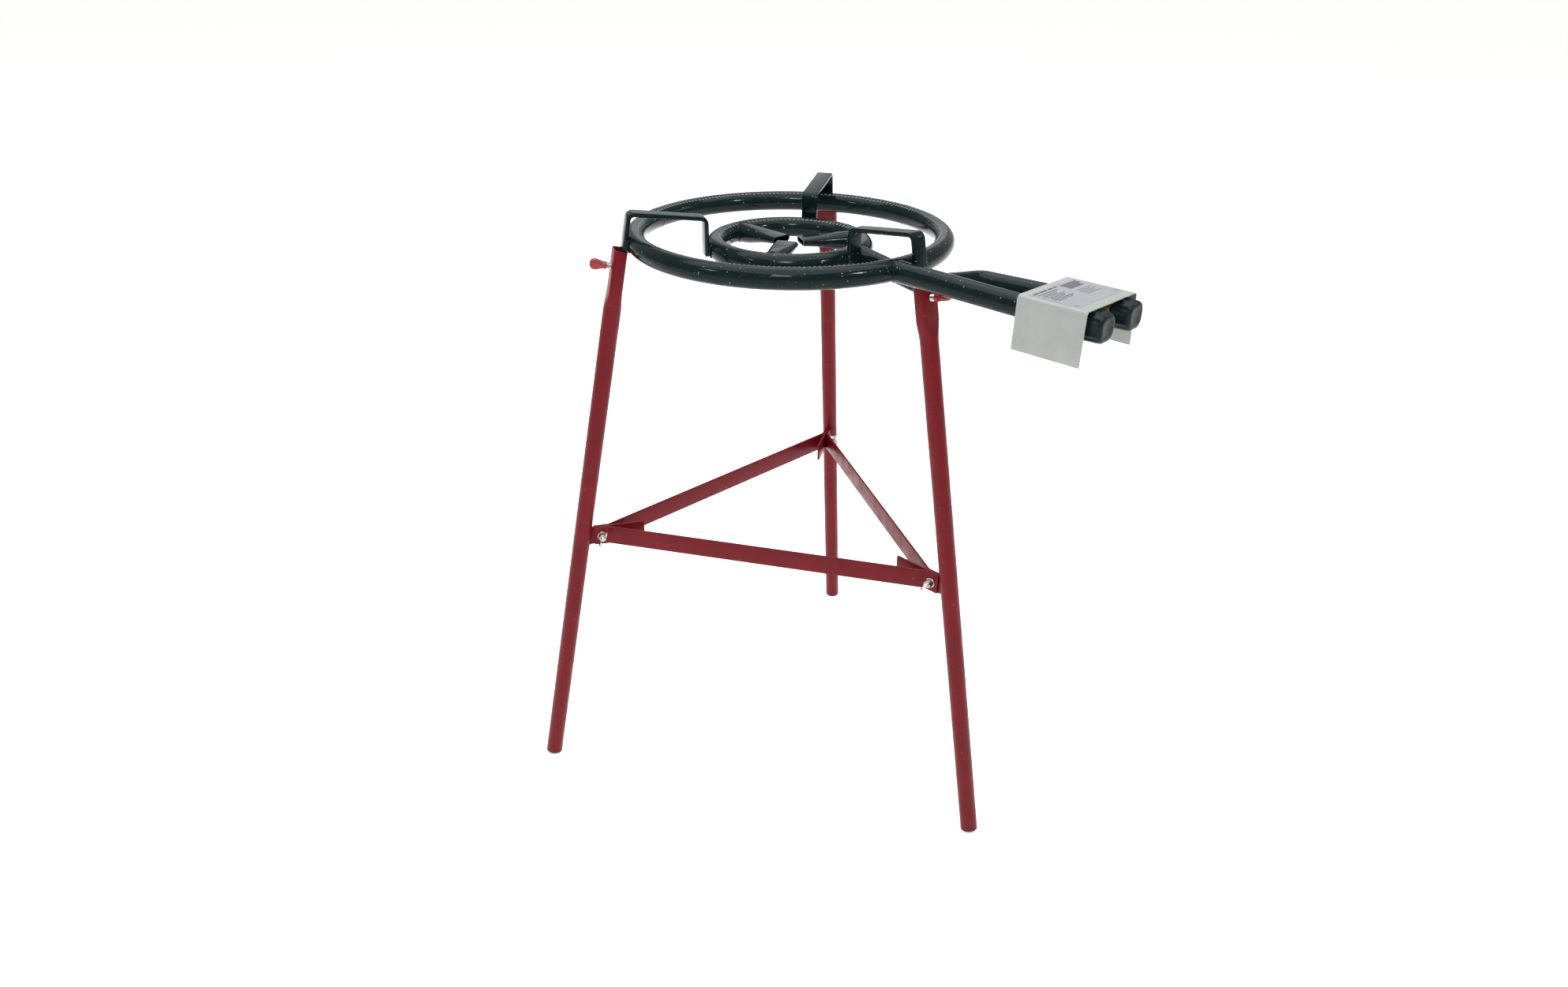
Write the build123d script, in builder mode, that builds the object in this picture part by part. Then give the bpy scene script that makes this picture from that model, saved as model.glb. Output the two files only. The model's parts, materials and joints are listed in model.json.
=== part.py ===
"""Two-ring gas burner on a knock-down tripod stand.

The frame is +Z up with the floor at z = 0 and the origin below the middle of the whole object's
box. The rings' common axis is a little behind it, the taps face -Y, and the legs stand at three
bearings measured anticlockwise from +X. Lengths are millimetres, angles are degrees.
"""
import os
from math import cos, radians, sin, sqrt, tan

from build123d import *

# ---------------------------------------------------------------- driving dimensions
RING_Z = 730.0            # floor to the axis of the big ring's tube
RING_OD = 400.0           # outside of the big ring
RING_TUBE = 25.0
RING_WALL = 1.5
INNER_R = 90.0            # small ring, to the middle of its tube
INNER_DROP = 12.0         # small ring below the big one
PORT_D = 2.0
PORT_TILT = 62.0          # flame ports look up, a little inwards
OUTER_PORTS = 210
INNER_PORTS = 96
WELD_ARC = 0.6            # butt welds of the rings
WELD_RISE = 0.3
WELD_BEARINGS = (-130.0, -10.0, 110.0)

# reach, width, height and rise above the small ring's axis
STUB_SECTIONS = (
    (80.0, 24.6, 24.4, 0.0),
    (62.0, 25.5, 21.0, 1.0),
    (38.0, 28.0, 12.5, 3.0),
    (14.0, 29.0, 8.4, 4.0),
)

FEED_D = 24.5
FEED_WALL = 1.5
FEED_SIDE = 27.0          # feed pipes and taps, each side of the front leg
TAP_DROP = 3.0            # taps below the big ring
MOUTH_REACH = 372.0       # ring axis to the open pipe mouths

BAR_W = 20.0
BAR_T = 5.0
BAR_BITE = 0.5            # the bars are let into the rings by this much

LEG_BEARINGS = {"front": -90.0, "right": 30.0, "left": 150.0}
SPLAY = 10.8
LEG_D = 22.0
LEG_WALL = 1.5
SOCKET_W = 27.5           # flattened top of a leg, along the ring
SOCKET_DEPTH = 16.0       # and across it
SOCKET_LEN = 50.0
SOCKET_CORNER = 4.5
TAPER_LEN = 25.0
LEG_TOP_DROP = 5.0        # leg tops below the big ring's tube axis

TAB_Z = 346.6
TAB_H = 25.0
TAB_T = 3.0
TAB_INNER_R = 197.0
BOLT_R = 254.0
BRACE_T = 3.0
BRACE_END_R = 264.0
BRACE_BEND_R = 244.0

SHIELD_TOP = 15.0         # top of the shield above the big ring's tube axis
SHIELD_W = 94.0
SHIELD_H = 56.0
SHIELD_FLARE = 2.5
SHIELD_T = 1.0
SHIELD_NEAR = 359.0       # ring axis to the shield's inner edge
SHIELD_LEN = 78.0

KNOB_BACK = 430.0
KNOB_LEN = 20.0
KNOB_W = 29.5

# ---------------------------------------------------------------- worked out from them
RING_R = RING_OD / 2 - RING_TUBE / 2
TUBE_R = RING_TUBE / 2
FEED_R = FEED_D / 2
FRONT_REACH = KNOB_BACK + KNOB_LEN
RING_Y = (FRONT_REACH - RING_OD / 2) / 2
INNER_Z = RING_Z - INNER_DROP
TAP_Z = RING_Z - TAP_DROP
CENTRE = Vector(0, RING_Y, 0)
RING_AXIS = Axis((0, RING_Y, 0), (0, 0, 1))
RUN = 0.05                # radial running clearance of a turning or sliding fit

BAR_LINE = RING_R + (TUBE_R - BAR_BITE + BAR_T / 2) / cos(radians(SPLAY))
SOCKET_HALF = SOCKET_DEPTH / 2 - LEG_WALL
BAR_IN_SOCKET = SOCKET_HALF - BAR_T / 2      # bar's middle, inwards from the leg's axis
LEG_LINE = BAR_LINE + BAR_IN_SOCKET / cos(radians(SPLAY))
FOOT_R = LEG_LINE + RING_Z * tan(radians(SPLAY))
LEG_LEN = (RING_Z - LEG_TOP_DROP) / cos(radians(SPLAY))

FOOT_DOME = 20.0
FOOT_FLAT = 0.9           # how much of the dome is flat
DOME_CENTRE = (FOOT_DOME - FOOT_FLAT) / cos(radians(SPLAY))
DOME_RIM = DOME_CENTRE - sqrt(FOOT_DOME ** 2 - (LEG_D / 2) ** 2)
PLUG_FLANGE = 1.5
LEG_START = DOME_RIM + PLUG_FLANGE

CLAMP_DROP = {"front": 31.0, "right": 26.0, "left": 25.5}    # thumb screws below the big ring's tube axis
CLAMP_R = 4.0             # M8
CLAMP_NUT_AF = 13.0
HEAD_START = SOCKET_DEPTH / 2 + 5.5
HEAD_LEN = 20.0
HEAD_W = 14.0
HEAD_T = 7.0
HEAD_STUB_R = 3.0
HEAD_STUB_LEN = 12.0
HEAD_TURNED = {"front": 80.0, "right": 35.0, "left": 0.0}

BOLT_D = 6.0
BOLT_HEAD_AF = 10.0
BOLT_HEAD_H = 4.0
BOLT_HOLE_D = 6.6
WASHER_D = 12.5
WASHER_T = 1.2
NUT_H = 7.0
NUT_SPAN = 22.0
BOLT_SPARE = 3.0
NUT_SIDE = {"front": -1, "right": -1, "left": 1}     # 1 is the anticlockwise side of the tab
STACK_HALF = TAB_T / 2 + BRACE_T

PLUG_R = 5.5
PLUG_START, PLUG_END = 392.2, 411.0
BODY_START, BODY_END = 384.0, 418.0
BODY_R = 8.5
GLAND_END = 424.0
GLAND_AF = 15.0
SPINDLE_R = 2.5
SPINDLE_START = 404.0
COLLAR_START, COLLAR_END = 416.5, 417.9
COLLAR_R = 4.3
SPRING_WIRE = 0.7
SPRING_R = 3.6
MANIFOLD_Y = 398.0        # ring axis to the manifold's axis
BRACKET_NEAR = 361.5      # and to the near edge of its bracket plate
MANIFOLD_R = 6.0
MANIFOLD_DROP = 16.0      # manifold below the taps
MANIFOLD_HALF = 38.0
TAIL_R = 4.5              # hose nozzle
TAIL_LEN = 18.0
TAIL_HEX = 12.0
TAIL_HEX_H = 5.0


# ---------------------------------------------------------------- planes and small helpers
def save(piece, name):
    """Label a finished piece and write it to its own file."""
    piece.part.label = name
    export_step(piece.part, f"parts/{name}.step")


def bearing_plane(bearing, z=0.0):
    """Upright plane through the rings' axis: local X outwards, local Y up."""
    c, s = cos(radians(bearing)), sin(radians(bearing))
    return Plane(origin=CENTRE + Vector(0, 0, z), x_dir=(c, s, 0), z_dir=(s, -c, 0))


def leg_plane(bearing, along=0.0):
    """Plane across a leg's axis: local X anticlockwise round the ring, local Y inwards."""
    c, s = cos(radians(bearing)), sin(radians(bearing))
    lean, rise = sin(radians(SPLAY)), cos(radians(SPLAY))
    up = Vector(-lean * c, -lean * s, rise)
    foot = CENTRE + Vector(c, s, 0) * FOOT_R
    return Plane(origin=foot + up * along, x_dir=(-s, c, 0), z_dir=up)


def turned_plane(plane, angle):
    """The same plane, its local X turned anticlockwise about its own normal."""
    c, s = cos(radians(angle)), sin(radians(angle))
    return Plane(origin=plane.origin, x_dir=plane.x_dir * c + plane.y_dir * s, z_dir=plane.z_dir)


def clamp_plane(name, turned=0.0):
    """Plane across a thumb screw's axis, at the leg's axis: local Z outwards."""
    leg = leg_plane(LEG_BEARINGS[name], (RING_Z - CLAMP_DROP[name]) / cos(radians(SPLAY)))
    return turned_plane(Plane(origin=leg.origin, x_dir=leg.x_dir, z_dir=-leg.y_dir), turned)


def bolt_plane(name, z=TAB_Z):
    """Plane across a brace bolt's axis, in the middle of its tab: local Z towards the wing nut."""
    upright = bearing_plane(LEG_BEARINGS[name], z)
    side = -NUT_SIDE[name]
    origin = upright.origin + upright.x_dir * BOLT_R
    return Plane(origin=origin, x_dir=upright.x_dir, z_dir=upright.z_dir * side)


def tap_plane(side, reach):
    """Plane across a tap's axis, facing the cook: local X to the cook's right, local Y up."""
    return Plane(origin=(side * FEED_SIDE, RING_Y - reach, TAP_Z), x_dir=(1, 0, 0), z_dir=(0, -1, 0))


def half_strip(points, radius, thickness):
    """Face of a bent strip: its outer line through the points, filleted, and its thickness."""
    with BuildLine() as edge:
        FilletPolyline(*points, radius=radius)
        offset(amount=thickness, side=Side.RIGHT)
    make_face(edge.edges())


def solid_ring(radius, z, tube_r):
    """Solid torus, to shape what is welded to a ring."""
    return Location((0, RING_Y, z)) * Torus(radius, tube_r, mode=Mode.PRIVATE)


OUTER_TORUS = solid_ring(RING_R, RING_Z, TUBE_R)
INNER_TORUS = solid_ring(INNER_R, INNER_Z, TUBE_R)


# ---------------------------------------------------------------- burner
def ring_length(radius, z, ports, start):
    """One bent length of ring tube, from one weld to the next, with its share of the flame ports."""
    arc = 360.0 / len(WELD_BEARINGS)
    with BuildPart() as length:
        with BuildSketch(bearing_plane(start + WELD_ARC / 2, z)):
            with Locations((radius, 0)):
                Circle(TUBE_R)
                Circle(TUBE_R - RING_WALL, mode=Mode.SUBTRACT)
        revolve(axis=RING_AXIS, revolution_arc=arc - WELD_ARC)
        with Locations(Plane(origin=CENTRE + Vector(0, 0, z))):
            with PolarLocations(radius, ports, start_angle=start + arc / ports / 2, angular_range=arc):
                with Locations(Location((0, 0, 0), (0, PORT_TILT - 90, 0))):
                    Cylinder(PORT_D / 2, TUBE_R + 2, align=(Align.CENTER, Align.CENTER, Align.MIN),
                             mode=Mode.SUBTRACT)
    return length.part


def flame_ring(radius, z, ports, inlet):
    """Three bent lengths of tube joined by raised butt welds, with a hole where a pipe feeds it."""
    lengths = [ring_length(radius, z, ports // 3, start) for start in WELD_BEARINGS]
    with BuildPart() as ring:
        add(lengths[0])
        add(inlet, mode=Mode.SUBTRACT)
        for bearing in WELD_BEARINGS:
            with BuildSketch(bearing_plane(bearing - WELD_ARC / 2, z)):
                with Locations((radius, 0)):
                    Circle(TUBE_R + WELD_RISE)
            revolve(axis=RING_AXIS, revolution_arc=WELD_ARC)
        for length in lengths[1:]:
            add(length)
    return ring


def outer_feed_line():
    """Straight line from the big ring's tube to the front pipe mouth."""
    start = sqrt(RING_R ** 2 - FEED_SIDE ** 2)
    return Line((-FEED_SIDE, RING_Y - start, RING_Z), (-FEED_SIDE, RING_Y - MOUTH_REACH, TAP_Z))


def inner_feed_line():
    """Line from the small ring, under the big one, and up to the other pipe mouth."""
    start = sqrt(INNER_R ** 2 - FEED_SIDE ** 2)
    corners = [(start, -INNER_DROP), (190.0, -28.0), (266.0, -6.5), (MOUTH_REACH, -TAP_DROP)]
    points = [(FEED_SIDE, RING_Y - reach, RING_Z + height) for reach, height in corners]
    return FilletPolyline(*points, radius=60.0)


def feed_pipe(line, ring):
    """Pipe along a line, its first end cut to saddle the ring."""
    with BuildPart() as pipe:
        with BuildLine():
            path = line()
        with BuildSketch(Plane(origin=path @ 0, z_dir=path % 0)):
            Circle(FEED_R)
            Circle(FEED_R - FEED_WALL, mode=Mode.SUBTRACT)
        sweep(path=path)
        add(ring, mode=Mode.SUBTRACT)
    return pipe


def inlet_cutter(line):
    """Short plug of the pipe's bore, to open the ring's wall where the pipe meets it."""
    with BuildPart() as cutter:
        with BuildLine():
            path = line()
        with BuildSketch(Plane(origin=path @ 0, z_dir=path % 0)):
            Circle(FEED_R - FEED_WALL - 1.0)
        extrude(amount=TUBE_R + 6)
    return cutter.part


def stub_solid(bearing, shrink):
    """Loft from a round section at the small ring to a flat one near the centre."""
    sections = []
    for reach, width, height, rise in STUB_SECTIONS:
        upright = bearing_plane(bearing, INNER_Z + rise)
        origin = upright.origin + upright.x_dir * reach
        with BuildSketch(Plane(origin=origin, x_dir=upright.z_dir, z_dir=-upright.x_dir)) as section:
            RectangleRounded(width - 2 * shrink, height - 2 * shrink, height / 2 - shrink - 0.05)
        sections.append(section.sketch)
    with BuildPart() as solid:
        loft(sections)
    return solid.part


def flame_stub(bearing):
    """Tube welded inside the small ring, flattened towards its open tip near the centre."""
    with BuildPart() as stub:
        add(stub_solid(bearing, 0.0))
        add(stub_solid(bearing, RING_WALL), mode=Mode.SUBTRACT)
        add(INNER_TORUS, mode=Mode.SUBTRACT)
    return stub


def pan_support(bearing):
    """Flat bar bent to an upside-down U across both rings, its outer leg going into the socket."""
    lean = tan(radians(SPLAY))
    outside = BAR_LINE + BAR_T / 2 / cos(radians(SPLAY))
    inner = INNER_R + TUBE_R - BAR_BITE
    points = [(inner, -18.0), (inner, 28.7), (outside - 39.4 * lean, 39.4), (outside + 60.0 * lean, -60.0)]
    upright = bearing_plane(bearing, RING_Z)
    with BuildPart() as bar:
        with BuildSketch(upright):
            half_strip(points, 9.0, BAR_T)
        extrude(amount=BAR_W / 2, both=True)
        sides = bar.faces().filter_by(Axis(upright.origin, upright.z_dir)).edges()
        chamfer(sides.filter_by(lambda edge: edge.length > BAR_T + 1), length=0.8)
        add(OUTER_TORUS, mode=Mode.SUBTRACT)
        add(INNER_TORUS, mode=Mode.SUBTRACT)
    return bar


# ---------------------------------------------------------------- tripod
def leg_solid(bearing, shrink):
    """A leg's outer shape, or its bore with shrink as the wall: round, tapered, then flattened."""
    steps = [LEG_START, LEG_LEN - SOCKET_LEN - TAPER_LEN, LEG_LEN - SOCKET_LEN]
    side = LEG_D - 2 * shrink
    with BuildSketch(leg_plane(bearing, steps[1])) as near_round:
        RectangleRounded(side, side, side / 2 - 0.1)
    with BuildSketch(leg_plane(bearing, steps[2])) as socket:
        RectangleRounded(SOCKET_W - 2 * shrink, SOCKET_DEPTH - 2 * shrink, SOCKET_CORNER - shrink)
    with BuildPart() as solid:
        with BuildSketch(leg_plane(bearing, steps[0])):
            Circle(side / 2)
        extrude(amount=steps[1] - steps[0])
        loft([near_round.sketch, socket.sketch])
        extrude(socket.sketch, amount=SOCKET_LEN)
    return solid.part


def tripod_leg(name):
    """Splayed tube, its top flattened to a socket for the support bar."""
    bearing = LEG_BEARINGS[name]
    with BuildPart() as leg:
        add(leg_solid(bearing, 0.0))
        add(leg_solid(bearing, LEG_WALL), mode=Mode.SUBTRACT)
        with Locations(clamp_plane(name)):
            Cylinder(CLAMP_R + 0.3, SOCKET_DEPTH, align=(Align.CENTER, Align.CENTER, Align.MIN),
                     mode=Mode.SUBTRACT)
    return leg


def foot_plug(bearing):
    """Domed plastic plug in a leg's lower end, worn flat where it meets the floor."""
    with BuildPart() as foot:
        with Locations(leg_plane(bearing, DOME_CENTRE)):
            Sphere(FOOT_DOME)
        with Locations(leg_plane(bearing, DOME_CENTRE - FOOT_DOME)):
            Cylinder(LEG_D / 2, LEG_START + FOOT_DOME - DOME_CENTRE,
                     align=(Align.CENTER, Align.CENTER, Align.MIN), mode=Mode.INTERSECT)
        with Locations(leg_plane(bearing, LEG_START)):
            Cylinder(LEG_D / 2 - LEG_WALL - 0.1, 12.0, align=(Align.CENTER, Align.CENTER, Align.MIN))
        split(bisect_by=Plane.XY, keep=Keep.TOP)
    return foot


def leg_tab(bearing):
    """Flat tab welded to a leg, pointing at the middle of the stand."""
    leg_r = FOOT_R - TAB_Z * tan(radians(SPLAY))
    with BuildPart() as tab:
        with BuildSketch(bearing_plane(bearing, TAB_Z)):
            with Locations((TAB_INNER_R, 0)):
                Rectangle(leg_r - TAB_INNER_R, TAB_H, align=(Align.MIN, Align.CENTER))
            with Locations((BOLT_R, 0)):
                Circle(BOLT_HOLE_D / 2, mode=Mode.SUBTRACT)
        extrude(amount=TAB_T / 2, both=True)
        with Locations(leg_plane(bearing)):
            Cylinder(LEG_D / 2, LEG_LEN, align=(Align.CENTER, Align.CENTER, Align.MIN), mode=Mode.SUBTRACT)
    return tab


def brace(name, next_name):
    """Flat bar on edge from one leg's tab to the next, anticlockwise, ends bent flat to the tabs."""
    def beside(bearing, reach, side):
        c, s = cos(radians(bearing)), sin(radians(bearing))
        return (c * reach - s * side, s * reach + c * side)

    start, end = LEG_BEARINGS[name], LEG_BEARINGS[next_name]
    face = TAB_T / 2
    points = [beside(start, BRACE_END_R, face), beside(start, BRACE_BEND_R, face),
              beside(end, BRACE_BEND_R, -face), beside(end, BRACE_END_R, -face)]
    with BuildPart() as bar:
        with BuildSketch(Plane(origin=CENTRE + Vector(0, 0, TAB_Z))):
            with BuildLine() as edge:
                FilletPolyline(*points, radius=6.0)
                offset(amount=BRACE_T, side=Side.RIGHT)
            make_face(edge.edges())
        extrude(amount=TAB_H / 2, both=True)
        for joint in (name, next_name):
            with Locations(bolt_plane(joint)):
                Cylinder(BOLT_HOLE_D / 2, 4 * STACK_HALF, mode=Mode.SUBTRACT)
    return bar


def brace_bolts():
    """The three hexagon bolts, each with a washer's face under its head."""
    with BuildPart() as bolts:
        for name in LEG_BEARINGS:
            place = bolt_plane(name)
            with BuildSketch(place.offset(-STACK_HALF - BOLT_HEAD_H)):
                RegularPolygon(BOLT_HEAD_AF / 2, 6, major_radius=False)
            extrude(amount=BOLT_HEAD_H)
            with BuildSketch(place.offset(-STACK_HALF - 0.1)):
                Circle(BOLT_D / 2)
            extrude(amount=2 * STACK_HALF + WASHER_T + NUT_H + BOLT_SPARE + 0.1)
    return bolts


def brace_washer(name):
    """Washer under a wing nut."""
    with BuildPart() as washer:
        with BuildSketch(bolt_plane(name).offset(STACK_HALF)):
            Circle(WASHER_D / 2)
            Circle(BOLT_D / 2 + RUN, mode=Mode.SUBTRACT)
        extrude(amount=WASHER_T)
    return washer


def wing_nut(name):
    """Hub with two flared wings, turned a different way on each joint."""
    turned = {"front": 55.0, "right": 15.0, "left": 60.0}[name]
    place = turned_plane(bolt_plane(name).offset(STACK_HALF + WASHER_T), turned)
    upright = Plane(origin=place.origin, x_dir=place.x_dir, z_dir=place.y_dir)
    lift = 1 if (upright.y_dir.dot(place.z_dir) > 0) else -1
    half = NUT_SPAN / 2
    with BuildPart() as nut:
        with BuildSketch(upright):
            for side in (-1, 1):
                wing = [(0, 0.8), (5.2, 1.6), (half - 3.5, 5.0), (half, 9.0), (half - 1.6, 12.0),
                        (half - 5.0, 10.5), (3.5, NUT_H), (0, NUT_H)]
                with BuildLine():
                    Polyline(*[(side * x, lift * y) for x, y in wing], close=True)
                make_face()
        extrude(amount=1.1, both=True)
        with BuildSketch(place):
            Circle(5.2)
        extrude(amount=NUT_H, taper=6)
        with Locations(place):
            Cylinder(BOLT_D / 2 + RUN, 4 * NUT_H, mode=Mode.SUBTRACT)
    return nut


# ---------------------------------------------------------------- thumb screws
def clamp_nuts():
    """The three nuts welded inside the sockets."""
    with BuildPart() as nuts:
        for name in LEG_BEARINGS:
            with BuildSketch(clamp_plane(name)):
                RegularPolygon(CLAMP_NUT_AF / 2, 6, major_radius=False)
                Circle(CLAMP_R + RUN, mode=Mode.SUBTRACT)
            extrude(amount=SOCKET_HALF)
    return nuts


def clamp_shank(name):
    """Zinc screw, its tip on the support bar and its thin end moulded into the head."""
    place = clamp_plane(name)
    tip = BAR_T - SOCKET_HALF + RUN
    with BuildPart() as shank:
        with BuildSketch(place.offset(tip)):
            Circle(CLAMP_R)
        extrude(amount=HEAD_START - tip)
        with BuildSketch(place.offset(HEAD_START)):
            Circle(HEAD_STUB_R)
        extrude(amount=HEAD_STUB_LEN)
    return shank


def clamp_head(name):
    """Spoon-shaped plastic head: a round neck that spreads to a flat oval grip."""
    place = clamp_plane(name, HEAD_TURNED[name])
    start = HEAD_START + 0.2
    flat = Plane(origin=place.origin, x_dir=place.y_dir, z_dir=place.x_dir)
    out = 1 if flat.y_dir.dot(place.z_dir) > 0 else -1
    with BuildPart() as head:
        with BuildSketch(flat):
            with Locations((0, out * (start + HEAD_LEN - 8.0))):
                Ellipse(HEAD_W / 2, 8.0)
        extrude(amount=HEAD_T / 2, both=True)
        fillet(head.edges(), radius=2.0)
        with BuildSketch(place.offset(start)):
            Circle(5.0)
        extrude(amount=8.0, taper=10)
        with Locations(place):
            Cylinder(HEAD_STUB_R + RUN, HEAD_START + HEAD_STUB_LEN + 0.3,
                     align=(Align.CENTER, Align.CENTER, Align.MIN), mode=Mode.SUBTRACT)
    return head


# ---------------------------------------------------------------- gas train
def pipe_rods():
    """Both feed pipes as solid rods, to shape what is welded to them."""
    with BuildPart() as rods:
        for line in (outer_feed_line, inner_feed_line):
            with BuildLine():
                path = line()
            with BuildSketch(Plane(origin=path @ 0, z_dir=path % 0)):
                Circle(FEED_R)
            sweep(path=path)
    return rods.part


def manifold_rod():
    """The manifold as a solid rod."""
    place = (0, RING_Y - MANIFOLD_Y, TAP_Z - MANIFOLD_DROP)
    return Location(place, (0, 90, 0)) * Cylinder(MANIFOLD_R, 2 * MANIFOLD_HALF, mode=Mode.PRIVATE)


def gas_manifold():
    """Brass tube across the taps, closed at both ends, open to each tap and to the nozzle."""
    middle = (0, RING_Y - MANIFOLD_Y, TAP_Z - MANIFOLD_DROP)
    with BuildPart() as manifold:
        add(MANIFOLD_ROD)
        with Locations(Location(middle, (0, 90, 0))):
            Cylinder(MANIFOLD_R - 1.5, 2 * MANIFOLD_HALF - 4.0, mode=Mode.SUBTRACT)
        with Locations(middle):
            Cylinder(2.5, 2 * MANIFOLD_R, align=(Align.CENTER, Align.CENTER, Align.MAX), mode=Mode.SUBTRACT)
            with Locations((FEED_SIDE, 0), (-FEED_SIDE, 0)):
                Cylinder(2.0, 2 * MANIFOLD_R, align=(Align.CENTER, Align.CENTER, Align.MIN),
                         mode=Mode.SUBTRACT)
    return manifold


def hose_nozzle():
    """Hexagon and smooth tail for the gas hose, pointing down from the manifold's middle."""
    top = TAP_Z - MANIFOLD_DROP - MANIFOLD_R
    place = Plane(origin=(0, RING_Y - MANIFOLD_Y, top))
    with BuildPart() as nozzle:
        with BuildSketch(place.offset(-TAIL_HEX_H)):
            RegularPolygon(TAIL_HEX / 2, 6, major_radius=False)
        extrude(amount=TAIL_HEX_H + 3.0)
        with BuildSketch(place.offset(-TAIL_HEX_H)):
            Circle(TAIL_R)
        extrude(amount=-TAIL_LEN)
        chamfer(nozzle.faces().sort_by(Axis.Z)[0].edges(), length=0.5)
        with Locations(place):
            Cylinder(2.5, 60.0, mode=Mode.SUBTRACT)
        add(MANIFOLD_ROD, mode=Mode.SUBTRACT)
    return nozzle


def tap_body(side):
    """Brass tap: a round body with a cavity for the plug, and a riser from the manifold."""
    with BuildPart() as body:
        with BuildSketch(tap_plane(side, BODY_START)):
            Circle(BODY_R)
        extrude(amount=BODY_END - BODY_START)
        with BuildSketch(Plane(origin=(side * FEED_SIDE, RING_Y - MANIFOLD_Y, TAP_Z))):
            Circle(4.0)
        extrude(amount=-MANIFOLD_DROP)
        with BuildSketch(tap_plane(side, PLUG_START - 0.2)):
            Circle(PLUG_R + RUN)
        extrude(amount=BODY_END, mode=Mode.SUBTRACT)
        with BuildSketch(tap_plane(side, BODY_START)):
            Circle(1.5)
        extrude(amount=PLUG_START - BODY_START, mode=Mode.SUBTRACT)
        with BuildSketch(Plane(origin=(side * FEED_SIDE, RING_Y - MANIFOLD_Y, TAP_Z))):
            Circle(2.0)
        extrude(amount=-MANIFOLD_DROP, mode=Mode.SUBTRACT)
        add(MANIFOLD_ROD, mode=Mode.SUBTRACT)
    return body


def injectors():
    """The two brass injectors, each a hexagon and a nozzle that reaches into its pipe's mouth."""
    with BuildPart() as jets:
        for side in (-1, 1):
            with BuildSketch(tap_plane(side, BODY_START - 5.0)):
                RegularPolygon(5.0, 6, major_radius=False)
            extrude(amount=5.0)
            with BuildSketch(tap_plane(side, BODY_START - 5.0)):
                Circle(3.5)
            extrude(amount=-13.0, taper=4)
            with Locations(tap_plane(side, BODY_START)):
                Cylinder(0.6, 60.0, mode=Mode.SUBTRACT)
    return jets


def gland_nuts():
    """The two nuts that close the tap bodies round their spindles."""
    with BuildPart() as glands:
        for side in (-1, 1):
            with BuildSketch(tap_plane(side, BODY_END)):
                RegularPolygon(GLAND_AF / 2, 6, major_radius=False)
                Circle(SPINDLE_R + 0.1, mode=Mode.SUBTRACT)
            extrude(amount=GLAND_END - BODY_END)
    return glands


def spindle_flat(half):
    """Half-plane that cuts the driving flat of a spindle or of a hole that takes it."""
    with Locations((half, 0)):
        Rectangle(10.0, 10.0, align=(Align.MIN, Align.CENTER), mode=Mode.SUBTRACT)


def tap_plug(side):
    """Rotary plug with a gas way through it and a socket that drives it from the spindle."""
    with BuildPart() as plug:
        with BuildSketch(tap_plane(side, PLUG_START)):
            Circle(PLUG_R)
        extrude(amount=PLUG_END - PLUG_START)
        with BuildSketch(tap_plane(side, SPINDLE_START - 4.0)):
            Circle(SPINDLE_R + RUN)
            spindle_flat(1.6 + RUN)
        extrude(amount=PLUG_END, mode=Mode.SUBTRACT)
        with BuildSketch(tap_plane(side, PLUG_START)):
            Circle(1.4)
        extrude(amount=MANIFOLD_Y - PLUG_START, mode=Mode.SUBTRACT)
    return plug


def tap_spindle(side):
    """Spindle with a flat, and the collar that the spring lifts against the gland nut."""
    with BuildPart() as spindle:
        with BuildSketch(tap_plane(side, SPINDLE_START)):
            Circle(SPINDLE_R)
            spindle_flat(1.6)
        extrude(amount=KNOB_BACK + KNOB_LEN - 6.0 - SPINDLE_START)
        with BuildSketch(tap_plane(side, COLLAR_START)):
            Circle(COLLAR_R)
        extrude(amount=COLLAR_END - COLLAR_START)
    return spindle


def tap_spring(side):
    """Return spring between the plug and the spindle's collar."""
    length = COLLAR_START - PLUG_END - 2 * RUN - SPRING_WIRE
    place = tap_plane(side, PLUG_END + RUN + SPRING_WIRE / 2)
    with BuildPart() as spring:
        coil = place.location * Helix(length / 4, length, SPRING_R)
        with BuildSketch(Plane(origin=coil @ 0, z_dir=coil % 0)):
            Circle(SPRING_WIRE / 2)
        sweep(path=coil, is_frenet=True)
    return spring


def tap_knob(side):
    """Black knob: a rounded-square shell with a boss on the spindle."""
    corner = 11.0
    with BuildPart() as knob:
        with BuildSketch(tap_plane(side, KNOB_BACK)):
            RectangleRounded(KNOB_W, KNOB_W, corner)
        extrude(amount=KNOB_LEN, taper=2)
        fillet(knob.faces().sort_by(Axis.Y)[0].edges(), radius=2.5)
        with BuildSketch(tap_plane(side, KNOB_BACK)):
            RectangleRounded(KNOB_W - 4.0, KNOB_W - 4.0, corner - 2.0)
            Circle(5.5, mode=Mode.SUBTRACT)
        extrude(amount=KNOB_LEN - 4.0, taper=2, mode=Mode.SUBTRACT)
        with BuildSketch(tap_plane(side, KNOB_BACK)):
            Circle(SPINDLE_R)
            spindle_flat(1.6)
        extrude(amount=KNOB_LEN - 6.0, mode=Mode.SUBTRACT)
    return knob


def manifold_bracket():
    """Plate welded below both pipes and against the manifold."""
    top = TAP_Z - FEED_R + 0.4
    with BuildPart() as plate:
        with BuildSketch(Plane(origin=(0, RING_Y - BRACKET_NEAR, top))):
            Rectangle(72.0, MANIFOLD_Y - BRACKET_NEAR, align=(Align.CENTER, Align.MAX))
        extrude(amount=-2.9)
        add(PIPE_RODS, mode=Mode.SUBTRACT)
        add(MANIFOLD_ROD, mode=Mode.SUBTRACT)
    return plate


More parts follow.
